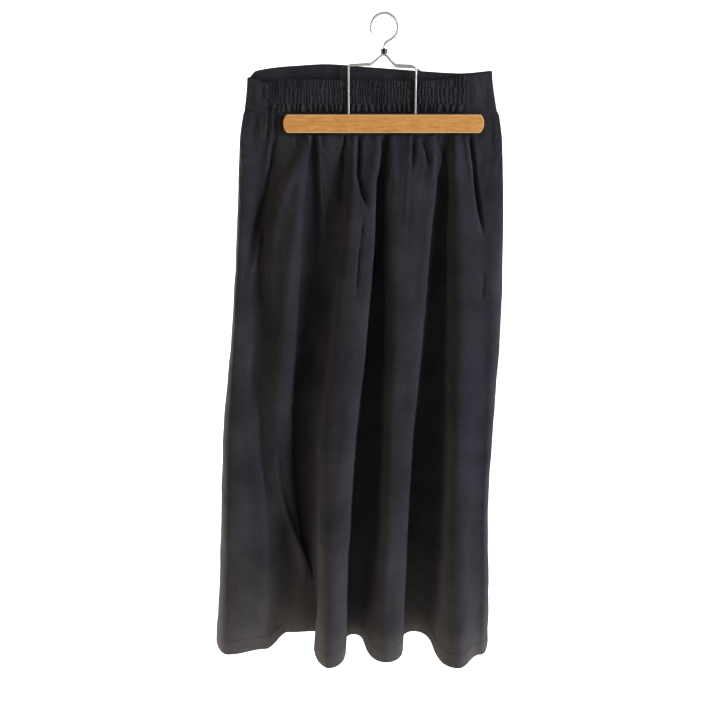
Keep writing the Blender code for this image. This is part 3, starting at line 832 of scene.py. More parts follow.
# Creases of the near panel, from left to right: the gathers under the bar and the longer ones.
NEAR_CREASES = (
    # Left of the bar's end and down the left edge.
    Crease(((-171, 18), (-171, 2), (-175, -20), (-181, -58), (-190, -106), (-205, -155), (-219, -204),
            (-228, -262)), -6.4, 2.2, 3.2, 2.6, (1, 60)),
    Crease(((-176.5, 16), (-178, -6), (-184, -40), (-192, -90)), 3.0, 3.2, 2.4, 1.8, (2, 50)),
    Crease(((-190, 14), (-192, -16), (-198, -60)), 2.6, 9.0, 8.0, 1.2, (3, 50)),
    Crease(((-182, 18), (-183, 6), (-185, -10), (-187, -28)), -4.6, 1.8, 1.9, 1.0, (1, 16)),
    Crease(((-187, 9), (-191, 3), (-196, -4)), -3.0, 1.8, 1.6, 1.0, (4, 5)),
    Crease(((-200, 9), (-202, 2), (-205, -9)), -2.6, 1.8, 2.0, 1.0, (4, 6)),
    Crease(((-166, 16), (-166, 0), (-169, -24)), 2.2, 2.0, 3.0, 1.0, (2, 12)),
    Crease(((-206, 12), (-210, -14), (-214, -60)), -1.8, 4.0, 5.0, 1.3, (4, 30)),
    Crease(((-194, -158), (-202, -185), (-207, -207), (-214, -229), (-221, -249), (-226, -272)),
           3.2, 5.0, 3.0, 1.2, (14, 20)),
    Crease(((-209, -190), (-217, -220), (-226, -242), (-229, -264)), -2.8, 3.0, 2.4, 1.0, (12, 16)),
    Crease(((-195, -168), (-199, -192), (-204, -212)), -2.4, 2.0, 3.0, 1.0, (10, 12)),
    Crease(((-212, -330), (-220, -400), (-223, -480), (-219, -552), (-205, -627), (-198, -703), (-197, -780),
            (-201, -859), (-206, -936)), -5.0, 6.0, 11.0, 1.5, (80, 60)),
    Crease(((-202, -508), (-192, -526)), -1.8, 3.0, 3.0, 1.0, (6, 8)),
    Crease(((-228, -543), (-221, -567)), -1.8, 3.0, 3.0, 1.0, (8, 10)),
    Crease(((-264, -728), (-249, -755), (-233, -781), (-225, -818)), -2.2, 6.0, 7.0, 1.0, (20, 26)),
    # Over the inner left ridge and into the first valley.
    Crease(((-117, -16), (-136, -57), (-158, -105), (-173, -153), (-182, -202), (-184, -268), (-186, -336)),
           5.6, 9.0, 6.0, 1.5, (4, 90)),
    Crease(((-121, -17), (-127, -57), (-134, -105), (-141, -153), (-149, -202), (-155, -268), (-161, -337)),
           5.6, 7.0, 4.0, 1.6, (3, 90)),
    Crease(((-104, -16), (-102, -58), (-100, -110), (-99, -170), (-101, -240)), 8.0, 4.5, 9.0, 1.2, (3, 100)),
    Crease(((-86, -16), (-85, -60), (-86, -120), (-88, -190)), 3.4, 9.0, 8.0, 1.2, (3, 100)),
    Crease(((-97, -16), (-97, -82), (-97, -150)), -2.2, 2.2, 1.6, 1.2, (3, 40)),
    Crease(((-67, -16), (-67, -36), (-73, -50), (-77, -65), (-83, -79)), 2.6, 3.4, 1.7, 1.3, (2, 16)),
    Crease(((-62, -16), (-63, -40), (-65, -70), (-67, -110), (-71, -170)), -6.0, 4.5, 2.6, 1.4, (2, 70)),
    Crease(((-96, -230), (-96, -300), (-100, -380)), -5.0, 15.0, 9.0, 1.0, (60, 60)),
    Crease(((-184, -530), (-182, -600), (-172, -655), (-160, -700), (-147, -745), (-134, -790), (-122, -850)),
           5.6, 12.0, 3.0, 1.0, (50, 60)),
    Crease(((-169, -680), (-166, -729), (-158, -769), (-150, -797), (-143, -828)),
           -1.0, 8.0, 9.0, 1.0, (30, 26)),
    Crease(((-222, -440), (-218, -560), (-209, -640), (-203, -720), (-202, -800), (-207, -890)),
           7.5, 16.0, 4.5, 1.4, (60, 50)),
    Crease(((-145, -575), (-152, -610)), -2.2, 4.0, 4.0, 1.0, (12, 12)),
    Crease(((-157, -472), (-151, -496)), -1.4, 3.5, 3.5, 1.0, (8, 8)),
    # First lobe.
    Crease(((-46, -16), (-48, -57), (-49, -104), (-53, -151), (-56, -200), (-62, -268)),
           3.0, 4.5, 7.0, 1.6, (2, 110)),
    Crease(((-39, -16), (-40, -59), (-41, -76), (-37, -95), (-33, -111), (-28, -125), (-24, -138)),
           -8.5, 3.2, 3.0, 1.4, (2, 30)),
    Crease(((-31, -140), (-38, -200), (-42, -245), (-43, -284)), -3.6, 2.8, 2.4, 1.0, (24, 34)),
    Crease(((-16, -40), (-17, -88), (-17, -130), (-18, -190), (-25, -260), (-31, -330)),
           4.2, 9.0, 3.6, 1.3, (20, 70)),
    Crease(((-9, -62), (-13, -86)), -2.2, 2.2, 2.6, 1.0, (8, 10)),
    Crease(((-100, -395), (-104, -480), (-106, -552), (-108, -626), (-114, -704), (-117, -784), (-119, -866)),
           2.0, 9.0, 9.0, 1.2, (50, 70)),
    Crease(((-88, -250), (-92, -330), (-90, -410)), -2.0, 6.0, 6.0, 1.0, (30, 40)),
    Crease(((-93, -660), (-94, -686)), -2.0, 4.0, 3.5, 1.0, (10, 10)),
    Crease(((-68, -420), (-74, -520), (-82, -600)), -2.2, 12.0, 9.0, 1.0, (50, 60)),
    Crease(((-61, -700), (-66, -780), (-76, -880)), -2.4, 9.0, 13.0, 1.0, (50, 50)),
    # First valley and second lobe.
    Crease(((5, -16), (3, -33), (1, -54), (0, -74), (-1, -90)), -7.0, 3.4, 3.4, 1.0, (2, 30)),
    Crease(((16, -18), (17, -60), (20, -120)), 1.6, 4.0, 3.0, 1.4, (6, 60)),
    Crease(((44, -16), (42, -59), (39, -82), (39, -134), (38, -182)), 2.2, 3.0, 2.0, 1.3, (2, 50)),
    Crease(((48, -16), (47, -53), (44, -92)), -5.6, 2.4, 4.4, 1.0, (2, 50)),
    Crease(((41, -90), (40, -140), (38, -200)), -1.2, 1.6, 3.0, 1.0, (20, 30)),
    Crease(((63, -16), (66, -36), (71, -53), (76, -76)), -4.6, 2.6, 3.0, 1.0, (2, 26)),
    Crease(((80, -16), (80, -60), (81, -105), (74, -170), (68, -260), (62, -340)),
           4.6, 7.0, 3.6, 1.3, (2, 90)),
    Crease(((12, -16), (12, -60), (13, -90)), 4.0, 3.0, 8.0, 1.0, (2, 30)),
    Crease(((-8, -16), (-9, -50), (-12, -90)), 4.0, 8.0, 3.0, 1.0, (2, 30)),
    Crease(((8, -60), (8, -120), (7, -200), (9, -300)), 1.4, 4.0, 9.0, 1.2, (20, 80)),
    Crease(((48, -330), (40, -430), (36, -520)), -1.8, 10.0, 8.0, 1.0, (60, 60)),
    Crease(((-2, -560), (-8, -640), (-14, -720)), 2.0, 6.0, 9.0, 1.0, (50, 50)),
    Crease(((30, -700), (20, -790), (12, -890)), -2.5, 12.0, 8.0, 1.0, (60, 50)),
    # Second valley, third lobe and the right edge.
    Crease(((99, -16), (100, -58), (101, -110), (100, -180)), -3.0, 4.0, 5.0, 1.3, (2, 60)),
    Crease(((112, -16), (115, -50), (119, -100)), 3.6, 5.0, 10.0, 1.0, (2, 40)),
    Crease(((115, -400), (108, -436)), 2.4, 3.0, 5.0, 1.0, (12, 14)),
    Crease(((116, -18), (118, -60), (121, -120), (124, -180)), 2.2, 4.0, 6.0, 1.6, (4, 70)),
    Crease(((138, -16), (145, -58), (151, -105), (159, -153), (167, -190)), -7.5, 3.0, 2.6, 1.2, (2, 50)),
    Crease(((131, -18), (138, -60), (144, -108)), 2.0, 3.6, 3.0, 1.2, (6, 40)),
    Crease(((166, -232), (166, -260), (163, -286)), -2.6, 3.0, 3.0, 1.0, (10, 12)),
    Crease(((168, -330), (172, -430), (174, -520)), -0.8, 9.0, 9.0, 1.0, (50, 60)),
    Crease(((158, -640), (154, -720), (156, -800)), -2.2, 9.0, 9.0, 1.0, (40, 50)),
    Crease(((170, 12), (172, -14), (176, -60)), -1.8, 3.0, 4.0, 1.3, (4, 30)),
)
# Creases of the far panel.
FAR_CREASES = (
    Crease(((-200, 12), (-205, -30), (-214, -110), (-226, -210)), -1.9, 4.0, 6.0, 1.5, (4, 60)),
    Crease(((-176, 14), (-172, -30), (-176, -100)), 1.3, 4.0, 3.0, 1.4, (4, 40)),
    Crease(((-162, -16), (-160, -60), (-168, -140), (-176, -240)), -1.8, 3.0, 5.0, 1.6, (2, 90)),
    Crease(((-128, -16), (-130, -70), (-126, -120)), -2.0, 2.6, 3.4, 1.3, (2, 50)),
    Crease(((-110, -16), (-113, -60), (-118, -140), (-124, -230)), 1.4, 4.0, 3.0, 1.6, (4, 80)),
    Crease(((-84, -16), (-80, -60), (-82, -96)), -2.2, 2.4, 3.2, 1.2, (2, 40)),
    Crease(((-62, -16), (-60, -50), (-54, -104)), -1.4, 2.6, 2.6, 1.3, (2, 40)),
    Crease(((-22, -16), (-18, -66), (-10, -150)), -2.4, 3.0, 3.0, 1.4, (2, 60)),
    Crease(((-4, -16), (-2, -60), (4, -130)), 1.3, 3.4, 2.6, 1.4, (4, 60)),
    Crease(((32, -16), (36, -56), (34, -110)), -2.0, 2.4, 3.0, 1.2, (2, 40)),
    Crease(((52, -16), (50, -80), (46, -170)), 1.2, 3.0, 4.0, 1.5, (4, 70)),
    Crease(((98, -16), (102, -60), (110, -140)), -2.0, 3.0, 2.6, 1.4, (2, 60)),
    Crease(((122, -16), (121, -50), (124, -96)), -1.6, 2.2, 3.0, 1.2, (2, 40)),
    Crease(((156, -16), (160, -70), (166, -160), (170, -240)), -2.3, 3.0, 4.0, 1.5, (2, 80)),
    Crease(((-232, -330), (-240, -420), (-243, -500)), -1.9, 7.0, 5.0, 1.2, (50, 60)),
    Crease(((-140, -300), (-146, -400), (-158, -520)), -1.7, 8.0, 10.0, 1.0, (60, 70)),
    Crease(((-118, -560), (-130, -680), (-136, -800)), 2.2, 7.0, 11.0, 1.3, (60, 80)),
    Crease(((-92, -380), (-86, -430), (-84, -470)), -1.5, 4.0, 5.0, 1.0, (20, 24)),
    Crease(((-20, -420), (-26, -520), (-22, -640)), 2.0, 9.0, 6.0, 1.2, (60, 80)),
    Crease(((20, -620), (12, -720), (10, -860)), -2.2, 9.0, 12.0, 1.2, (60, 70)),
    Crease(((94, -330), (98, -440), (100, -560)), -1.6, 7.0, 7.0, 1.2, (60, 60)),
    Crease(((112, -600), (104, -690), (106, -760)), 1.9, 10.0, 6.0, 1.0, (40, 60)),
    Crease(((168, -480), (164, -600), (170, -740)), -1.9, 9.0, 7.0, 1.2, (60, 70)),
    Crease(((-208, -620), (-214, -700), (-222, -780)), -2.0, 6.0, 9.0, 1.0, (40, 50)),
    Crease(((-60, -700), (-66, -770), (-64, -860)), -1.7, 8.0, 5.0, 1.0, (40, 40)),
    Crease(((150, -240), (146, -262), (148, -284)), -1.2, 3.0, 3.0, 1.0, (8, 10)),
    Crease(((-20, -250), (-14, -276), (-18, -300)), -1.1, 3.0, 4.0, 1.0, (8, 10)),
)
# Puckers of the flat waistband's short near ends.
BAND_CREASES = (
    Crease(((-191, 62), (-193, 48), (-190, 34)), -1.8, 2.0, 2.6, 1.0, (6, 8)),
    Crease(((-186, 62), (-186, 50), (-184, 38)), 1.5, 2.4, 2.0, 1.0, (6, 10)),
    Crease(((-203, 66), (-201, 46), (-203, 24)), 1.2, 4.0, 3.0, 1.0, (8, 8)),
    Crease(((-182, 40), (-182.5, 28), (-181.5, 18)), -2.2, 1.8, 1.4, 1.0, (6, 4)),
    Crease(((-214, 40), (-206, 30), (-198, 20)), -1.2, 2.6, 2.0, 1.0, (6, 6)),
    Crease(((146, 66), (147, 44), (145, 22)), 0.7, 3.0, 4.0, 1.0, (8, 8)),
    Crease(((160, 60), (162, 40), (164, 22)), -0.6, 4.0, 3.0, 1.0, (8, 8)),
    Crease(((137, 60), (136, 44), (137, 26)), -0.7, 2.0, 2.4, 1.0, (6, 8)),
)


# Cloth -----------------------------------------------------------------------------------------
@dataclass
class Panel:
    """One skirt panel: a thin shell through its fold lines, with its creases laid over it."""

    name: str
    side: Side
    folds: tuple[FoldLine, ...]
    creases: tuple[Crease, ...]
    hem_width: float             # of the cut cloth, before it is gathered and folded
    waist_width: float
    seed: int
    rows: int = 120
    crowding: float = 1.4        # how much closer together the rows are at the bars than at the hem
    side_columns: int = 18
    pressed_rows: int = 9
    turning_rows: tuple[float, ...] = (2.4, 1.2, 0.4, -0.4, -1.2, -2.4)  # over the top of the turned hem
    hem_row: float = 1.5         # over the hem's edge
    steepness: float = 1.5       # how much steeper than their own slope the walls of the folds stand
    pressed_power: float = 0.5   # of the side rounds where they are pressed: 1 is an ellipse, 0 a corner
    inside_band: float = 1.0     # how far inside the waistband's side folds the tucked edge ends
    sway: Waves = Waves(0.42, 46.0, 2.2)
    crinkle: Waves = Waves(0.16, 17.0, 1.6)
    gathers: Waves = Waves(0.6, 10.0, 9.0)
    hangs_free: tuple[float, float] = (30.0, 160.0)      # below the bars: where it begins to, and does
    gathers_grow: tuple[float, float] = (-16.0, 6.0)
    gathers_end: tuple[float, float] = (60.0, 200.0)
    turned: float = 0.16         # how much thicker the cloth looks where it is turned up
    turned_edge: float = 1.2
    past_bar: tuple[float, float] = (1.0, 7.0)           # past the bar's end, where the cloth leaves its grip
    under_bar: tuple[float, float] = (-0.5, 6.0)         # and under its lower edge
    from_seams: tuple[float, float] = (0.5, 9.0)         # over which the relief grows from the side seams
    seam_turn: float = 3.0       # width over which the shell comes clear of the plane of the side seams
    air: float = 0.1             # between the shell and that plane
    points: np.ndarray = field(default_factory=lambda: np.zeros((0, 0, 3)))

    def heights(self) -> np.ndarray:
        """Place the rows: a few in the bars' grip, more near them, and extra ones at the hem.

        Returns:
            The rows' heights, from the top down.
        """
        pressed = np.linspace(WAIST_SEAM, BAR_LEVEL, self.pressed_rows, endpoint=False)
        hanging = between(BAR_LEVEL, HEM, np.linspace(0.0, 1.0, self.rows) ** self.crowding)
        turning = HEM + HEM_TURNING + np.array(self.turning_rows)
        return np.unique(np.concatenate([pressed, hanging, turning, [HEM + self.hem_row]]))[::-1]

    def section(self, height: np.ndarray) -> tuple[np.ndarray, np.ndarray]:
        """Cut the panel's form across at every height.

        Args:
            height: of the rows, from the top down.

        Returns:
            x and depth of the outer face, with a row for every height, from seam to seam.
        """
        left, right = (curve_through(LEVELS, seam, height) for seam in (LEFT_SEAM, RIGHT_SEAM))
        lines = [tuple(curve_through(LEVELS, table, height) for table in (fold.x, fold.depth))
                 for fold in self.folds]
        columns = self.side_round(left, *lines[0]) + lines[:1]
        for (x, depth), (next_x, next_depth), fold in zip(lines, lines[1:], self.folds[1:]):
            width, drop = next_x - x, next_depth - depth
            upright = fold.upright * np.minimum(1.0, self.steepness * np.abs(drop) / width)
            bulge = curve_through(LEVELS, fold.bulge, height) * np.abs(drop)
            for step in range(1, fold.columns + 1):
                t = step / fold.columns
                across = t + upright * math.sin(2 * math.pi * t) / (2 * math.pi)
                columns.append((x + width * across + bulge * math.sin(math.pi * t) ** 2,
                                depth + drop * (1 - math.cos(math.pi * t)) / 2))
        columns += self.side_round(right, *lines[-1])[::-1]
        all_x, all_depth = (np.stack(values, axis=1) for values in zip(*columns))
        return all_x, all_depth

    def side_round(self, seam: np.ndarray, ridge: np.ndarray,
                   depth: np.ndarray) -> list[tuple[np.ndarray, np.ndarray]]:
        """Round the cloth from a side seam to the nearest ridge.

        The round is a quarter ellipse low down and nearly a square corner where it is pressed.

        Args:
            seam: x of the side seam at every height.
            ridge: x of the ridge.
            depth: the ridge's depth.

        Returns:
            x and depth of each column, from the seam on.
        """
        reach = ridge - seam
        power = between(self.pressed_power, 1.0, np.minimum(1.0, depth / np.abs(reach)))
        angles = [math.pi / 2 * step / self.side_columns for step in range(self.side_columns)]
        return [(seam + reach * (1 - math.cos(angle) ** power),
                 between(SEAM_DEPTH, depth, math.sin(angle) ** power)) for angle in angles]

    def relief(self, x: np.ndarray, z: np.ndarray, across: np.ndarray) -> np.ndarray:
        """Work out how far creases, waves and the turned hem lift the cloth from its form.

        Args:
            x: of the places, seen from in front.
            z: height of the places.
            across: how far each place lies from the panel's middle, along the cloth.

        Returns:
            The lift at each place, in mm.
        """
        lift = sum(crease.height(x, z) for crease in self.creases)
        hanging = soft_step(-z, *self.hangs_free)
        gathered = soft_step(-z, *self.gathers_grow) * (1 - soft_step(-z, *self.gathers_end))
        lift = lift + hanging * self.sway.over(across, z, self.seed)
        lift += (1 + hanging) / 2 * self.crinkle.over(across, z, self.seed + 1)
        lift += gathered * self.gathers.over(across, z, self.seed + 2)
        below_turning = HEM + HEM_TURNING - z
        lift += self.turned * soft_step(below_turning, -self.turned_edge, self.turned_edge)
        outside_bar = soft_step(np.abs(x) - BAR_LENGTH / 2, *self.past_bar)
        in_grip = 1 - soft_step(-z - BAR_HEIGHT / 2, *self.under_bar)
        return lift * (1 - in_grip * (1 - outside_bar))

    def shape(self) -> tuple[np.ndarray, np.ndarray]:
        """Shape the panel's outer face.

        Returns:
            Its points in mm, and each one's place on the cloth.
        """
        heights = self.heights()
        x, depth = self.section(heights)
        seam = front_band_foot(x[0]) if self.side is Side.FAR else np.full(x[0].shape, WAIST_SEAM)
        share = np.clip((heights - BAR_LEVEL) / (WAIST_SEAM - BAR_LEVEL), 0.0, 1.0)[:, None]
        z = np.where(share > 0, between(BAR_LEVEL, seam + TUCKED_IN, share), heights[:, None])
        tucked = np.clip(x, band_side(z, LEFT) + self.inside_band, band_side(z, RIGHT) - self.inside_band)
        x = between(x, tucked, soft_step(z, BAND_FOOT - TUCKED_IN, BAND_FOOT + TUCKED_IN))
        points = np.stack([x, self.side.value * depth, z], axis=-1)
        across = run_along(points)
        whole = across[:, -1:]
        cloth = np.stack([across / whole * whole.mean(), z], axis=-1)
        centre = int(np.argmin(np.abs(x[0])))
        from_seam = np.minimum(across, whole - across)
        lift = self.relief(x, z, across - across[:, centre:centre + 1])
        lift *= soft_step(from_seam, *self.from_seams)
        points += grid_normals(points, self.side.value) * lift[..., None]
        clear = SEAM_DEPTH + (CLOTH + self.air) * soft_step(from_seam, 0.0, self.seam_turn)
        points[..., 1] = self.side.value * np.maximum(self.side.value * points[..., 1], clear)
        return points, cloth

    def build(self, linen: bpy.types.Material) -> None:
        """Make the panel, give it its cloth and log the fold lines that it falls in.

        Args:
            linen: the cloth's material.
        """
        self.points, cloth = self.shape()
        panel = cloth_shell(f"{self.name}_linen", self.points, cloth, self.side.value, CLOTH)
        dress(panel, linen)
        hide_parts(self.name)
        log.info("%s falls in %s", self.name, ", ".join(fold.name for fold in self.folds))


@dataclass
class ElasticBand:
    """The gathered half of the waistband: three channels of ribs and a row of puffs below them."""

    name: str = "waistband_back_elastic"
    left: float = ELASTIC_LEFT
    right: float = ELASTIC_RIGHT
    rib_pitch: float = 4.4
    wide_pitch: float = 6.6
    wide_from: float = 88.0      # the ribs stand further apart from here to the right
    puff_pitch: float = 8.6
    first_crest: tuple[float, float] = (0.2, 0.9)        # before the band's end, in pitches
    unevenness: tuple[float, float] = (0.6, 1.4)         # of the crests' distances, in pitches
    wander: float = 0.26         # how far a rib moves aside from one channel to the next, in pitches
    stitch_lines: tuple[float, ...] = (30.0, 42.5, 55.0)
    line_depth: float = 3.5
    channel_depth: float = 5.8
    puff_depth: float = 5.4
    fullness_round: float = 0.55                         # the lower, the fuller the channels' round
    rib_rise: float = 1.45
    rib_strength: tuple[float, float] = (0.45, 1.0)
    rib_slant: float = 0.14
    rib_round: float = 1.2       # the higher, the narrower the crests
    rib_rest: float = 0.34       # share of the ribs that is left at the stitch lines
    clusters: Waves = Waves(0.12, 42.0)                  # stretches of stronger and weaker ribs
    cluster_mean: float = 0.95
    rib_waves: Waves = Waves(0.5, 24.0)
    puff_rise: float = 2.7
    puff_strength: tuple[float, float] = (0.55, 1.0)
    puff_foot: tuple[float, float] = (0.34, 0.84)        # how narrow the puffs are at their foot
    puff_lean: tuple[float, float] = (-0.36, 0.3)
    puff_rest: float = 0.55      # share of the puffs that is left at the strip's edges
    puff_least: float = 1.5      # narrowest half of a puff
    puff_wedge: float = 1.25     # how far past its width a puff still falls, into a wedge
    seam_share: float = 0.2      # of the loose strip, over which the puffs grow from the seam
    foot_share: float = 0.25     # and over which it comes out from it
    top_slope: float = 1.2       # how much the last channel slims towards the band's top
    wire_dent: float = 1.4
    wire_dent_width: float = 7.0
    wire_x: tuple[float, ...] = (-55.5, 50.5)
    dent_line: tuple[float, float] = (0.5, 3.0)          # from the lowest stitch line, which isn't dented
    dent_foot: float = 8.0       # height over which the dents grow
    end_width: float = 3.5       # width over which the ends slope down, and the share that they keep
    end_share: float = 0.75
    fullness: float = 1.45       # cloth for each mm of the finished band
    outer_area: float = 0.0215   # of the outside, in square metres, measured on the built band
    columns: int = 620
    rows: int = 46
    seed: int = 11

    def crests(self, channel: int) -> np.ndarray:
        """Place the ribs or puffs of a channel at uneven distances.

        The ribs run on through the stitch lines, a little to one side or the other.

        Args:
            channel: 0 for the puffs, and 1 to 3 for the ribs above them.

        Returns:
            The x of each crest.
        """
        random = np.random.default_rng(self.seed + min(channel, 1))
        pitch = self.puff_pitch if channel == 0 else self.rib_pitch
        places = [self.left - pitch * random.uniform(*self.first_crest)]
        while places[-1] < self.right + pitch:
            wider = self.wide_pitch / self.rib_pitch if places[-1] > self.wide_from else 1.0
            places.append(places[-1] + pitch * wider * random.uniform(*self.unevenness))
        own = np.random.default_rng(self.seed + channel).uniform(-self.wander, self.wander, len(places))
        return np.array(places) + own * pitch * min(channel, 1)

    def ribbing(self, channel: int, x: np.ndarray, z: np.ndarray) -> np.ndarray:
        """Work out the ribs' relief in one channel.

        Args:
            channel: 1 to 3, from the lowest up.
            x: of the places, seen from in front.
            z: height of the places.

        Returns:
            The relief, from -1 in a furrow to 1 on the strongest crest.
        """
        places = self.crests(channel)
        random = np.random.default_rng(self.seed * 3 + channel)
        clusters = self.cluster_mean + self.clusters.over(places, 0.0, self.seed + 30)
        strength = random.uniform(*self.rib_strength, len(places)) * clusters
        slant = random.uniform(-self.rib_slant, self.rib_slant, len(places))
        middle = (self.stitch_lines[0] + self.stitch_lines[-1]) / 2
        shifted = x + np.interp(x, places, slant) * (z - middle)
        shifted = shifted + self.rib_waves.over(x, z, self.seed + 9 + channel)
        index = np.clip(np.searchsorted(places, shifted) - 1, 0, len(places) - 2)
        t = (shifted - places[index]) / (places[index + 1] - places[index])
        crest = between(strength[index], strength[index + 1], t)
        return crest * (2 * np.abs(np.cos(math.pi * t)) ** self.rib_round - 1)

    def puffs(self, x: np.ndarray, z: np.ndarray) -> np.ndarray:
        """Work out the relief of the loose strip: full at the stitch line, parted by dark wedges below.

        Args:
            x: of the places, seen from in front.
            z: height of the places.

        Returns:
            The relief, from -1 in a wedge to 1 on the strongest puff.
        """
        places = self.crests(0)
        last = len(places) - 1
        random = np.random.default_rng(self.seed * 5)
        strength = random.uniform(*self.puff_strength, len(places))
        narrow = random.uniform(*self.puff_foot, len(places))
        lean = random.uniform(*self.puff_lean, len(places))
        x = x + np.interp(x, places, lean) * (z - self.stitch_lines[0])
        index = np.clip(np.searchsorted((places[1:] + places[:-1]) / 2, x), 0, last)
        before, here, after = (places[np.clip(index + step, 0, last)] for step in (-1, 0, 1))
        half = np.maximum(np.where(x < here, here - before, after - here) / 2, self.puff_least)
        down = 1 - np.clip((z - BAND_FOOT) / (self.stitch_lines[0] - BAND_FOOT), 0.0, 1.0)
        width = half * between(1.0, narrow[index], down)
        off = np.clip(np.abs(x - here) / width, 0.0, self.puff_wedge) / (2 * self.puff_wedge)
        return strength[index] * (2 * np.cos(off * math.pi) ** 2 - 1)

    def depth(self, x: np.ndarray, z: np.ndarray) -> np.ndarray:
        """Work out the band's form.

        Args:
            x: of the places, seen from in front.
            z: height of the places.

        Returns:
            The depth of the band's outer face at each place.
        """
        edges = [*(np.full(x.shape, level) for level in (BAND_FOOT, *self.stitch_lines)),
                 edge_height(BACK_TOP_EDGE, x)]
        result = np.full(x.shape, self.line_depth)
        for channel, (lower, upper) in enumerate(zip(edges, edges[1:])):
            share = np.clip((z - lower) / (upper - lower), 0.0, 1.0)
            swell = np.sin(math.pi * share) ** self.fullness_round
            if channel == 0:
                level = between(self.line_depth, self.puff_depth, swell)
                level = between(BAND_FOOT_DEPTH, level, soft_step(share, 0.0, self.foot_share))
                relief = self.puff_rise * self.puffs(x, z) * between(self.puff_rest, 1.0, swell)
                relief = relief * soft_step(share, 0.0, self.seam_share)
            else:
                level = between(self.line_depth, self.channel_depth, swell)
                if channel == len(self.stitch_lines):
                    slim = np.maximum(level, self.channel_depth - self.top_slope * share)
                    level = np.where(share > 0.5, slim, level)
                relief = self.rib_rise * self.ribbing(channel, x, z) * between(self.rib_rest, 1.0, swell)
            result = np.where((z >= lower) & (z <= upper), level + relief, result)
        dent = np.max([np.exp(-((x - wire) / self.wire_dent_width) ** 2) for wire in self.wire_x], axis=0)
        dent = dent * soft_step(np.abs(z - self.stitch_lines[0]), *self.dent_line)
        result = result - self.wire_dent * dent * soft_step(z, BAND_FOOT, BAND_FOOT + self.dent_foot)
        closed = soft_step(np.minimum(x - self.left, self.right - x), 0.0, self.end_width)
        return between(BAND_FOOT_DEPTH, result, between(self.end_share, 1.0, closed))

    def build(self, linen: bpy.types.Material) -> None:
        """Make the ribbed band and give it its cloth.

        Args:
            linen: the cloth's material.
        """
        x = np.linspace(self.left, self.right, self.columns + 1)[None, :]
        z = between(BAND_FOOT, edge_height(BACK_TOP_EDGE, x), np.linspace(1.0, 0.0, self.rows + 1)[:, None])
        x = np.broadcast_to(x, z.shape)
        points = np.stack([x, -self.depth(x, z), z], axis=-1)
        cloth = np.stack([x * self.fullness, z], axis=-1)
        band = cloth_shell(f"{self.name}_linen", points, cloth, Side.NEAR.value, BAND_CLOTH)
        dress(band, linen)
        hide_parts(self.name)


class Stretch(Enum):
    """The stretches of the flat waistband, in their order round the waist."""

    NEAR_LEFT = "from the elastic to the left fold"
    LEFT_TURN = "round the left fold"
    FAR = "across the far side"
    RIGHT_TURN = "round the right fold"
    NEAR_RIGHT = "from the right fold to the elastic"


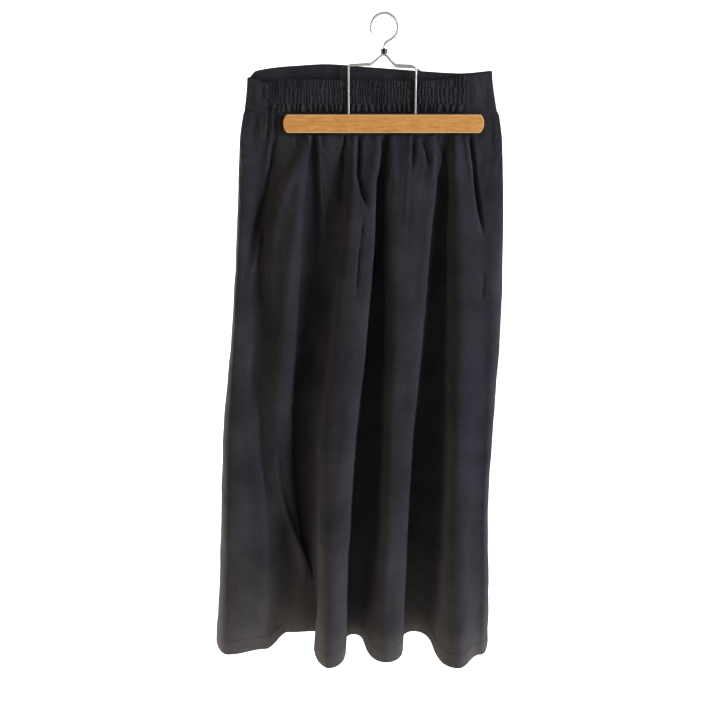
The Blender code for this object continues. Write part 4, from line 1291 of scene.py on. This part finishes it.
@dataclass
class FlatBand:
    """The plain half of the waistband: the whole far side, both side folds and a short way back."""

    name: str = "waistband_front"
    pitch: float = 1.6           # between two columns
    turn_columns: int = 14
    rows: int = 30
    seed: int = 41
    eases: tuple[Waves, ...] = (Waves(0.55, 26.0, 4.0), Waves(0.22, 9.0, 5.0))
    far_ease: float = 0.6        # share of the waves that the far side has
    from_seam: tuple[float, float] = (2.0, 12.0)         # height over which they grow
    from_ends: tuple[float, float] = (0.0, 6.0)

    def stretches(self) -> dict[Stretch, int]:
        """Lay out the band's way round the waist.

        Returns:
            The number of columns of each stretch, in their order.
        """
        return {
            Stretch.NEAR_LEFT: round((ELASTIC_LEFT - LEFT_SEAM[0]) / self.pitch),
            Stretch.LEFT_TURN: self.turn_columns,
            Stretch.FAR: round((RIGHT_SEAM[0] - LEFT_SEAM[0]) / self.pitch),
            Stretch.RIGHT_TURN: self.turn_columns,
            Stretch.NEAR_RIGHT: round((RIGHT_SEAM[0] - ELASTIC_RIGHT) / self.pitch),
        }

    def plan(self, stretch: Stretch, share: float, height: np.ndarray | float,
             depth: np.ndarray | float) -> tuple[np.ndarray, np.ndarray]:
        """Find the place of a column seen from above.

        Args:
            stretch: where on the band's way it is.
            share: how far along that stretch.
            height: of the column's points.
            depth: of the band's outer face at those heights.

        Returns:
            x and y of the band's outer face.
        """
        left, right = band_side(height, LEFT) + depth, band_side(height, RIGHT) - depth
        angle = math.pi * share
        if stretch is Stretch.NEAR_LEFT:
            return between(ELASTIC_LEFT - GAP, left, share), -depth
        if stretch is Stretch.LEFT_TURN:
            return left - depth * math.sin(angle), -depth * math.cos(angle)
        if stretch is Stretch.FAR:
            return between(left, right, share), depth
        if stretch is Stretch.RIGHT_TURN:
            return right + depth * math.sin(angle), depth * math.cos(angle)
        return between(right, ELASTIC_RIGHT + GAP, share), -depth

    def column(self, stretch: Stretch, share: float, rows: np.ndarray) -> np.ndarray:
        """Shape one column of the band's outer points.

        Args:
            stretch: where on the band's way it is.
            share: how far along that stretch.
            rows: how far up the band each point is, from 1 at its top to 0 at its foot.

        Returns:
            The points, from the top down.
        """
        far = {Stretch.LEFT_TURN: share, Stretch.FAR: 1.0, Stretch.RIGHT_TURN: 1 - share}.get(stretch, 0.0)
        guess = float(self.plan(stretch, share, BAND_FOOT, BAND_DEPTH)[0])
        foot = between(BAND_FOOT, front_band_foot(guess), far)
        top = between(edge_height(BACK_TOP_EDGE, guess), edge_height(FRONT_TOP_EDGE, guess), far)
        z = between(foot, top, rows)
        x, y = self.plan(stretch, share, z, flat_band_depth(z - foot))
        return np.stack(np.broadcast_arrays(x, y, z), axis=-1)

    def build(self, linen: bpy.types.Material) -> None:
        """Make the flat band and give it its cloth.

        Args:
            linen: the cloth's material.
        """
        rows = np.linspace(1.0, 0.0, self.rows + 1)
        columns = [self.column(stretch, step / count, rows) for stretch, count in self.stretches().items()
                   for step in range(count + (stretch is Stretch.NEAR_RIGHT))]
        points = np.stack(columns, axis=1)
        x, y, z = np.moveaxis(points.copy(), -1, 0)
        along = run_along(points[self.rows // 2])
        around = along[-1]
        cloth = np.stack([np.broadcast_to(along, z.shape), z], axis=-1)
        ease = sum(waves.over(along, z, self.seed + number) for number, waves in enumerate(self.eases))
        ease = ease * np.where(y < 0, 1.0, self.far_ease) * soft_step(z - BAND_FOOT, *self.from_seam)
        ease = ease * soft_step(np.minimum(along, around - along), *self.from_ends)
        ease += sum(crease.height(x, z) for crease in BAND_CREASES) * (y < 0)
        points += grid_normals(points, Side.FAR.value) * ease[..., None]
        band = cloth_shell(f"{self.name}_linen", points, cloth, Side.FAR.value, BAND_CLOTH)
        dress(band, linen)
        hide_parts(self.name)


@dataclass
class Stitching:
    """Rows of machine stitches in thread of the cloth's colour: small sunk-in spindles."""

    length: float = 3.0
    space: float = 0.7
    start: float = 0.6           # from the end of a row to its first stitch
    thickness: float = 0.5
    sides: int = 6
    # Share of the stitch's length, of its thickness, and height in thicknesses, for each ring.
    rings: tuple[tuple[float, float, float], ...] = (
        (0.0, 0.25, -0.3), (0.18, 0.9, 0.0), (0.5, 1.0, 0.1), (0.82, 0.9, 0.0), (1.0, 0.25, -0.3))
    line_waves: Waves = Waves(0.25, 40.0)                # of the rows along the elastic
    line_points: int = 500
    line_seed: int = 5
    line_inset: float = 1.0      # of those rows, from the elastic's ends
    end_offset: float = 2.2      # from the elastic's ends to the short rows beside them
    end_reach: tuple[float, float] = (5.0, 3.0)          # from the waist seam, and from the band's top
    end_points: int = 30

    def spindle(self, start: np.ndarray, end: np.ndarray,
                out: np.ndarray) -> tuple[np.ndarray, list[tuple[int, ...]]]:
        """Shape one stitch, pulled into the cloth at both ends.

        Args:
            start: the point where it comes out.
            end: the point where it goes in.
            out: the cloth's outward direction.

        Returns:
            The stitch's corners and its faces.
        """
        along = end - start
        across = np.cross(along, out)
        across /= max(np.linalg.norm(across), TINY)
        corners = []
        for share, girth, lift in self.rings:
            radius = self.thickness / 2 * girth
            for side in range(self.sides):
                angle = 2 * math.pi * side / self.sides
                rise = lift * self.thickness + radius * math.cos(angle)
                corners.append(start + along * share + out * rise + across * radius * math.sin(angle))
        last = len(corners) - self.sides
        faces: list[tuple[int, ...]] = []
        for first in range(last):
            second = first + 1 if (first + 1) % self.sides else first + 1 - self.sides
            faces.append((first, second, second + self.sides, first + self.sides))
        caps = [tuple(range(self.sides))[::-1], tuple(range(last, last + self.sides))]
        return np.array(corners), faces + caps

    def rows(self, name: str, routes: Sequence[np.ndarray], outs: Sequence[np.ndarray],
             thread: bpy.types.Material) -> None:
        """Sew stitches along several routes, as one piece.

        Args:
            name: the piece's name.
            routes: one array of points in mm for each row of stitches.
            outs: for each route, the outward direction at its points.
            thread: the thread's material.
        """
        corners: list[np.ndarray] = []
        faces: list[tuple[int, ...]] = []
        for route, out in zip(routes, outs):
            run = run_along(route)
            for place in np.arange(self.start, run[-1] - self.length, self.length + self.space):
                start, end = self.read(route, run, place), self.read(route, run, place + self.length)
                middle = self.read(out, run, place + self.length / 2)
                points, loops = self.spindle(start, end, middle / max(np.linalg.norm(middle), TINY))
                offset = len(corners) * len(points)
                corners.append(points)
                faces += [tuple(number + offset for number in loop) for loop in loops]
        mesh = bpy.data.meshes.new(name)
        mesh.from_pydata(to_frame(np.concatenate(corners)).tolist(), [], faces)
        stitches = link_mesh(name, mesh)
        only(stitches)
        bpy.ops.object.mode_set(mode="EDIT")
        turn_outwards()
        bpy.ops.object.mode_set(mode="OBJECT")
        mesh.shade_smooth()
        dress(stitches, thread)

    @staticmethod
    def read(table: np.ndarray, run: np.ndarray, place: float) -> np.ndarray:
        """Return a route's point or direction at a place along it."""
        return np.array([np.interp(place, run, table[:, axis]) for axis in range(3)])

    def sew_channels(self, band: ElasticBand, thread: bpy.types.Material) -> None:
        """Sew the three stitch lines of the elastic band and the short ones beside its ends.

        Args:
            band: the elastic band.
            thread: the thread's material.
        """
        routes = []
        x = np.linspace(band.left + self.line_inset, band.right - self.line_inset, self.line_points)
        for level in band.stitch_lines:
            z = level + self.line_waves.over(x, 0.0, self.line_seed)
            routes.append(np.stack([x, -band.depth(x, z) - PROUD, z], axis=-1))
        for place in (band.left - self.end_offset, band.right + self.end_offset):
            top = float(edge_height(BACK_TOP_EDGE, place))
            z = np.linspace(WAIST_SEAM + self.end_reach[0], top - self.end_reach[1], self.end_points)
            routes.append(np.stack([np.full(z.shape, place), -flat_band_depth(z - BAND_FOOT), z], axis=-1))
        outs = [np.broadcast_to((0.0, -1.0, 0.0), route.shape) for route in routes]
        self.rows("waistband_stitches", routes, outs, thread)

    def sew_hem(self, panel: Panel, thread: bpy.types.Material) -> None:
        """Sew the row of stitches that holds a panel's turned hem.

        Args:
            panel: the built panel.
            thread: the thread's material.
        """
        row = int(np.argmin(np.abs(panel.points[:, 0, 2] - (HEM + HEM_TURNING))))
        normals = grid_normals(panel.points, panel.side.value)[row]
        self.rows(f"{panel.name}_hem_stitches", [panel.points[row] + normals * PROUD], [normals], thread)


# Hanger ----------------------------------------------------------------------------------------
NEARLY = 0.9                 # an edge that reaches this share of a length reaches all of it
FLAT = 0.01                  # what reaches less than this is flat, in mm


@dataclass
class HangerBar:
    """One wooden bar of the clamp: flat faces, shallow round ends, softly rounded edges."""

    name: str
    side: Side
    end_bow: float = 5.5         # how far the middle of an end stands out past its corners
    end_steps: int = 11
    corner_radius: float = 2.6
    corner_segments: int = 4
    edge_radius: float = 1.7
    edge_segments: int = 5
    corner_angle: float = 40.0   # degrees; what is bent more is a corner, or an edge
    edge_angle: float = 60.0
    smooth_angle: float = 35.0

    def build(self, beech: bpy.types.Material) -> None:
        """Model the bar from a block and give it its wood.

        Args:
            beech: the wood's material.
        """
        y = self.side.value * (PRESSED + GAP + BAR_THICKNESS / 2)
        block = (BAR_LENGTH - 2 * self.end_bow, BAR_THICKNESS, BAR_HEIGHT)
        bar = begin(f"{self.name}_beech", bpy.ops.mesh.primitive_cube_add, size=1.0,
                    location=(0, y * MM, -HOOK_REST * MM), scale=[length * MM for length in block])
        bpy.ops.object.mode_set(mode="EDIT")
        pick(bar, "EDGE", lambda edge: edge.reach("z") > NEARLY * BAR_HEIGHT)
        bpy.ops.mesh.subdivide(number_cuts=self.end_steps)
        self.bow_ends(bar)
        pick(bar, "EDGE", lambda edge: (edge.angle > self.corner_angle
                                        and edge.reach("y") > NEARLY * BAR_THICKNESS))
        bpy.ops.mesh.bevel(offset=self.corner_radius * MM, segments=self.corner_segments)
        pick(bar, "FACE", lambda face: abs(face.normal.y) > NEARLY)
        bpy.ops.mesh.dissolve_faces()
        pick(bar, "EDGE", lambda edge: edge.angle > self.edge_angle and edge.reach("y") < FLAT)
        bpy.ops.mesh.bevel(offset=self.edge_radius * MM, segments=self.edge_segments)
        turn_outwards()
        smooth_under(bar, self.smooth_angle)
        apply_modifier(bar, "WEIGHTED_NORMAL", keep_sharp=True)
        dress(bar, beech)
        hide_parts(self.name)

    def bow_ends(self, bar: bpy.types.Object) -> None:
        """Move the rows of points at both ends outwards onto a shallow arc.

        Args:
            bar: the block in edit mode, with its upright edges subdivided.
        """
        half = BAR_HEIGHT / 2
        radius = (half ** 2 + self.end_bow ** 2) / (2 * self.end_bow)
        for step in range(1, self.end_steps + 1):
            level = between(-half, half, step / (self.end_steps + 1))
            bow = math.sqrt(radius ** 2 - level ** 2) - (radius - self.end_bow)
            for end in (-1, 1):
                pick(bar, "EDGE", lambda edge: edge.lies_at(level) and all(
                    end * point.x / MM > NEARLY * (BAR_LENGTH / 2 - self.end_bow) for point in edge.ends))
                bpy.ops.transform.translate(value=(end * bow * MM, 0, 0))


@dataclass
class BentWire:
    """A round wire that runs straight between corners and is bent round at each of them."""

    name: str
    diameter: float
    corners: tuple[tuple[float, float, float, float], ...] = ()      # x, y, height and bend radius
    sides: int = 16
    bend_step: float = 6.0       # degrees between two rings of a bend
    tip: float = 0.5             # radius of the ends' rims
    tip_segments: int = 3
    tip_angle: float = 70.0
    smooth_angle: float = 40.0

    def build(self, nickel: bpy.types.Material) -> None:
        """Bend the wire and give it its plating.

        Args:
            nickel: the plated wire's material.
        """
        wire = self.start()
        self.run()
        self.close(wire)
        dress(wire, nickel)
        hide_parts(self.name)

    def start(self) -> bpy.types.Object:
        """Add the first ring, square to the wire's first stretch, and go into edit mode.

        Returns:
            The wire so far, all selected.
        """
        first, second = (Vector(corner[:3]) for corner in self.corners[:2])
        turn = (second - first).to_track_quat("Z", "Y").to_euler()
        wire = begin(f"{self.name}_nickel", bpy.ops.mesh.primitive_circle_add, vertices=self.sides,
                     radius=self.diameter / 2 * MM, location=self.spot(first), rotation=turn)
        bpy.ops.object.mode_set(mode="EDIT")
        bpy.ops.mesh.select_mode(type="EDGE")
        bpy.ops.mesh.select_all(action="SELECT")
        return wire

    def run(self) -> None:
        """Extrude the open ring along every straight stretch and spin it round every bend."""
        points = [Vector(corner[:3]) for corner in self.corners]
        here = points[0]
        for before, corner, after, place in zip(points, points[1:], points[2:], self.corners[1:]):
            into, away = (corner - before).normalized(), (after - corner).normalized()
            turn, radius = into.angle(away), place[3]
            reach = radius * math.tan(turn / 2)
            self.stretch(corner - into * reach - here)
            inwards = (away - into * math.cos(turn)).normalized()
            self.bend(corner - into * reach + inwards * radius, into.cross(away), turn)
            here = corner + away * reach
        self.stretch(points[-1] - here)

    def spot(self, point: Vector) -> Vector:
        """Turn a point in mm from the bars' middle into the scene's metres."""
        return (point - Vector((0, 0, HOOK_REST))) * MM

    def stretch(self, way: Vector) -> None:
        """Extrude the ring by a vector in mm."""
        bpy.ops.mesh.extrude_edges_move(TRANSFORM_OT_translate={"value": way * MM})

    def bend(self, centre: Vector, axis: Vector, turn: float) -> None:
        """Spin the ring round a bend's centre.

        Args:
            centre: of the bend, in mm.
            axis: that the ring turns about.
            turn: by how much, in radians. With no window, the operator turns the other way.
        """
        steps = max(2, round(math.degrees(turn) / self.bend_step))
        bpy.ops.mesh.spin(steps=steps, angle=-turn, center=self.spot(centre), axis=axis.normalized())

    def close(self, wire: bpy.types.Object) -> None:
        """Close both ends, round their edges and leave edit mode.

        Args:
            wire: the open wire in edit mode.
        """
        bpy.ops.mesh.select_all(action="SELECT")
        bpy.ops.mesh.remove_doubles(threshold=MM * MM)
        bpy.ops.mesh.fill_holes(sides=0)
        turn_outwards()
        pick(wire, "EDGE", lambda edge: edge.angle > self.tip_angle)
        bpy.ops.mesh.bevel(offset=self.tip * MM, segments=self.tip_segments)
        smooth_under(wire, self.smooth_angle)


@dataclass
class Hook(BentWire):
    """The hanger's hook: a shank, a bend to the side and an open round."""

    foot: float = 0.0            # height of the shank's foot
    shank_bend: float = 8.0      # radius of the bend under the round
    radius: float = 21.0         # of the round, to the middle of the wire
    centre: float = 147.0        # height of the middle of the round
    round_start: float = -60.0   # degrees from the right
    round_end: float = 205.0

    def __post_init__(self) -> None:
        """Work out the shank's corners: its foot, the bend, and the place where the round starts."""
        start = math.radians(self.round_start)
        x, height = self.radius * math.cos(start), self.centre + self.radius * math.sin(start)
        bend = height + x / math.tan(start)
        self.corners = ((0.0, 0.0, self.foot, 0.0), (0.0, 0.0, bend, self.shank_bend), (x, 0.0, height, 0.0))

    def run(self) -> None:
        """Draw the shank and its bend, then spin the ring round the open circle."""
        super().run()
        turn = math.radians(self.round_end - self.round_start)
        self.bend(Vector((0, 0, self.centre)), Vector((0, -1, 0)), turn)


@dataclass
class Ferrule:
    """The small turned collar under the hook."""

    name: str = "ferrule"
    radius: float = 5.5
    foot: float = 107.4
    top: float = 114.4
    sides: int = 36
    top_rim: float = 1.0         # radius of the rims
    foot_rim: float = 1.2
    top_sink: float = -0.6       # how far the middle of the top is sunk, and that of the foot
    foot_sink: float = 0.4
    wall: float = 0.9            # width of the rings round them
    rim_segments: int = 4
    smooth_angle: float = 40.0

    def build(self, nickel: bpy.types.Material) -> None:
        """Turn the collar from a short rod and give it its plating.

        Args:
            nickel: the collar's material, its plating coloured dark as painted shade.
        """
        middle, height = (self.foot + self.top) / 2 - HOOK_REST, self.top - self.foot
        collar = begin(f"{self.name}_nickel", bpy.ops.mesh.primitive_cylinder_add, vertices=self.sides,
                       radius=self.radius * MM, depth=height * MM, location=(0, 0, middle * MM))
        bpy.ops.object.mode_set(mode="EDIT")
        for level, sink, rim in ((self.top, self.top_sink, self.top_rim),
                                 (self.foot, self.foot_sink, self.foot_rim)):
            pick(collar, "EDGE", lambda edge: edge.lies_at(level))
            bpy.ops.mesh.bevel(offset=rim * MM, segments=self.rim_segments)
            pick(collar, "FACE", lambda face: (abs(face.center.z / MM + HOOK_REST - level) < FLAT
                                               and abs(face.normal.z) > NEARLY))
            bpy.ops.mesh.inset(thickness=self.wall * MM)
            bpy.ops.transform.translate(value=(0, 0, sink * MM))
        turn_outwards()
        smooth_under(collar, self.smooth_angle)
        dress(collar, nickel)
        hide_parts(self.name)


# Studio ----------------------------------------------------------------------------------------
@dataclass(frozen=True)
class SoftBox:
    """A soft studio light: where it stands, what it points at, its size, power and colour.

    Places and sizes are in metres, and the power is in watts.
    """

    name: str
    place: tuple[float, float, float]
    target: tuple[float, float, float]
    size: tuple[float, float]
    power: float
    colour: str

    def build(self) -> None:
        """Hang the light and point it."""
        data = bpy.data.lights.new(self.name, "AREA")
        data.shape = "RECTANGLE"
        data.size, data.size_y = self.size
        data.energy = self.power
        data.color = linear(self.colour)[:3]
        lamp = bpy.data.objects.new(self.name, data)
        bpy.context.collection.objects.link(lamp)
        lamp.visible_camera = False
        lamp.location = self.place
        lamp.rotation_euler = (Vector(self.target) - Vector(self.place)).to_track_quat("-Z", "Y").to_euler()


@dataclass
class Studio:
    """A floor and a backdrop that are white to the camera, a large cool light in front, and the camera."""

    floor_size: float = 300.0    # metres, so that the floor reaches the horizon
    floor_parts: int = 8
    floor_drop: float = 110.0    # mm from the hem down to the floor
    sky: float = 0.06            # strength of the light from all round
    backdrop: float = 1.1        # strength of the white that the camera sees
    camera_place: tuple[float, float, float] = (-0.0376, -1.8, 0.054)
    camera_pitch: float = 19.0385    # degrees under the horizon
    focal_length: float = 55.415
    sensor: float = 36.0
    lights: tuple[SoftBox, ...] = (
        SoftBox("window_right", (2.55, -1.4, 0.3), (0, 0, -0.55), (1.0, 2.2), 76.0, "E6EAFF"),
        SoftBox("window_left", (-1.5, -0.75, -0.35), (-0.1, 0, -0.6), (0.7, 1.8), 6.0, "FFEAD4"),
        SoftBox("rim_left", (-1.5, 0.2, -0.3), (-0.2, 0, -0.5), (0.3, 1.8), 9.0, "FFF0DC"),
        SoftBox("ceiling", (-0.35, -0.7, 0.75), (-0.08, 0, -0.15), (0.6, 0.6), 2.0, "FFF6E8"),
        SoftBox("floor_bounce", (-0.05, -0.16, -1.19), (-0.05, -0.16, 0), (0.9, 0.2), 2.0, "FFF3E0"),
        SoftBox("back_window", (-2.2, 1.7, 0.3), (0, 0, -0.55), (1.2, 2.2), 60.0, "F0F1FF"),
        SoftBox("back_fill", (1.7, 1.0, -0.3), (0.1, 0, -0.6), (0.7, 1.8), 9.0, "FFEAD4"),
    )

    def build(self) -> None:
        """Lay the floor, light the set and place the camera."""
        self.lay_floor()
        self.light_sky()
        for light in self.lights:
            light.build()
        self.place_camera()

    def lay_floor(self) -> None:
        """Lay the floor a little under the hem."""
        level = (HEM - HOOK_REST - self.floor_drop) * MM
        floor = begin("studio_floor", bpy.ops.mesh.primitive_grid_add, x_subdivisions=self.floor_parts,
                      y_subdivisions=self.floor_parts, size=self.floor_size, location=(0, 0, level))
        floor.data.materials.append(StudioPaper().material())

    def light_sky(self) -> None:
        """Make the even light that comes from all round, in front of a white backdrop."""
        world = bpy.data.worlds.new("soft_sky")
        bpy.context.scene.world = world
        world.use_nodes = True
        tree = world.node_tree
        seen = add_node(tree, "LightPath", {}).outputs["Is Camera Ray"]
        strength = add_node(tree, "MapRange", {"To Min": self.sky, "To Max": self.backdrop, "Value": seen})
        settle(tree.nodes["Background"], {"Color": linear(WHITE), "Strength": strength.outputs["Result"]})

    def place_camera(self) -> None:
        """Place the camera a little above the hook, looking down along the skirt."""
        data = bpy.data.cameras.new("camera")
        data.lens = self.focal_length
        data.sensor_width = self.sensor
        data.clip_end = 2 * self.floor_size
        camera = bpy.data.objects.new("camera", data)
        bpy.context.collection.objects.link(camera)
        camera.location = self.camera_place
        camera.rotation_euler = (math.radians(90 - self.camera_pitch), 0, 0)
        scene = bpy.context.scene
        scene.camera = camera
        scene.view_settings.view_transform = "Standard"
        scene.view_settings.look = "High Contrast"


# The whole -------------------------------------------------------------------------------------
def build_cloth() -> None:
    """Build the two panels, the two halves of the waistband and their stitches."""
    linen, thread = Linen().material(), LinenThread().material()
    back = Panel("back_panel", Side.NEAR, NEAR_FOLDS, NEAR_CREASES, hem_width=1050, waist_width=600, seed=101)
    front = Panel("front_panel", Side.FAR, FAR_FOLDS, FAR_CREASES, hem_width=820, waist_width=450, seed=211)
    elastic = ElasticBand()
    for piece in (back, front, elastic, FlatBand()):
        piece.build(linen)
    stitching = Stitching()
    stitching.sew_channels(elastic, thread)
    for panel in (back, front):
        stitching.sew_hem(panel, thread)


def build_hanger() -> None:
    """Build the bars, their wire frames, the ferrule and the hook."""
    beech, nickel = LacqueredBeech().material(), NickelledWire().material()
    # painted shade: the collar is coloured dark all over to stand in for the shadow that falls on it under
    # the hook
    painted_shade = NickelledWire("nickel_plated_collar_painted_shade", bright="6E6A63", dull="57534D", shine=0.8)
    for side in Side:
        HangerBar(f"hanger_bar_{side.name.lower()}", side).build(beech)
    BentWire("wire_frame_near", FRAME_WIRE, NEAR_FRAME).build(nickel)
    BentWire("wire_frame_far", FRAME_WIRE, FAR_FRAME).build(nickel)
    ferrule = Ferrule()
    ferrule.build(painted_shade.material())
    Hook("hook", HOOK_WIRE, foot=ferrule.top + GAP, tip=1.2).build(nickel)


def main() -> None:
    """Dress the frame: cloth first, then the hanger, then the studio."""
    build_cloth()
    build_hanger()
    Studio().build()


if __name__ == "__main__":
    main()
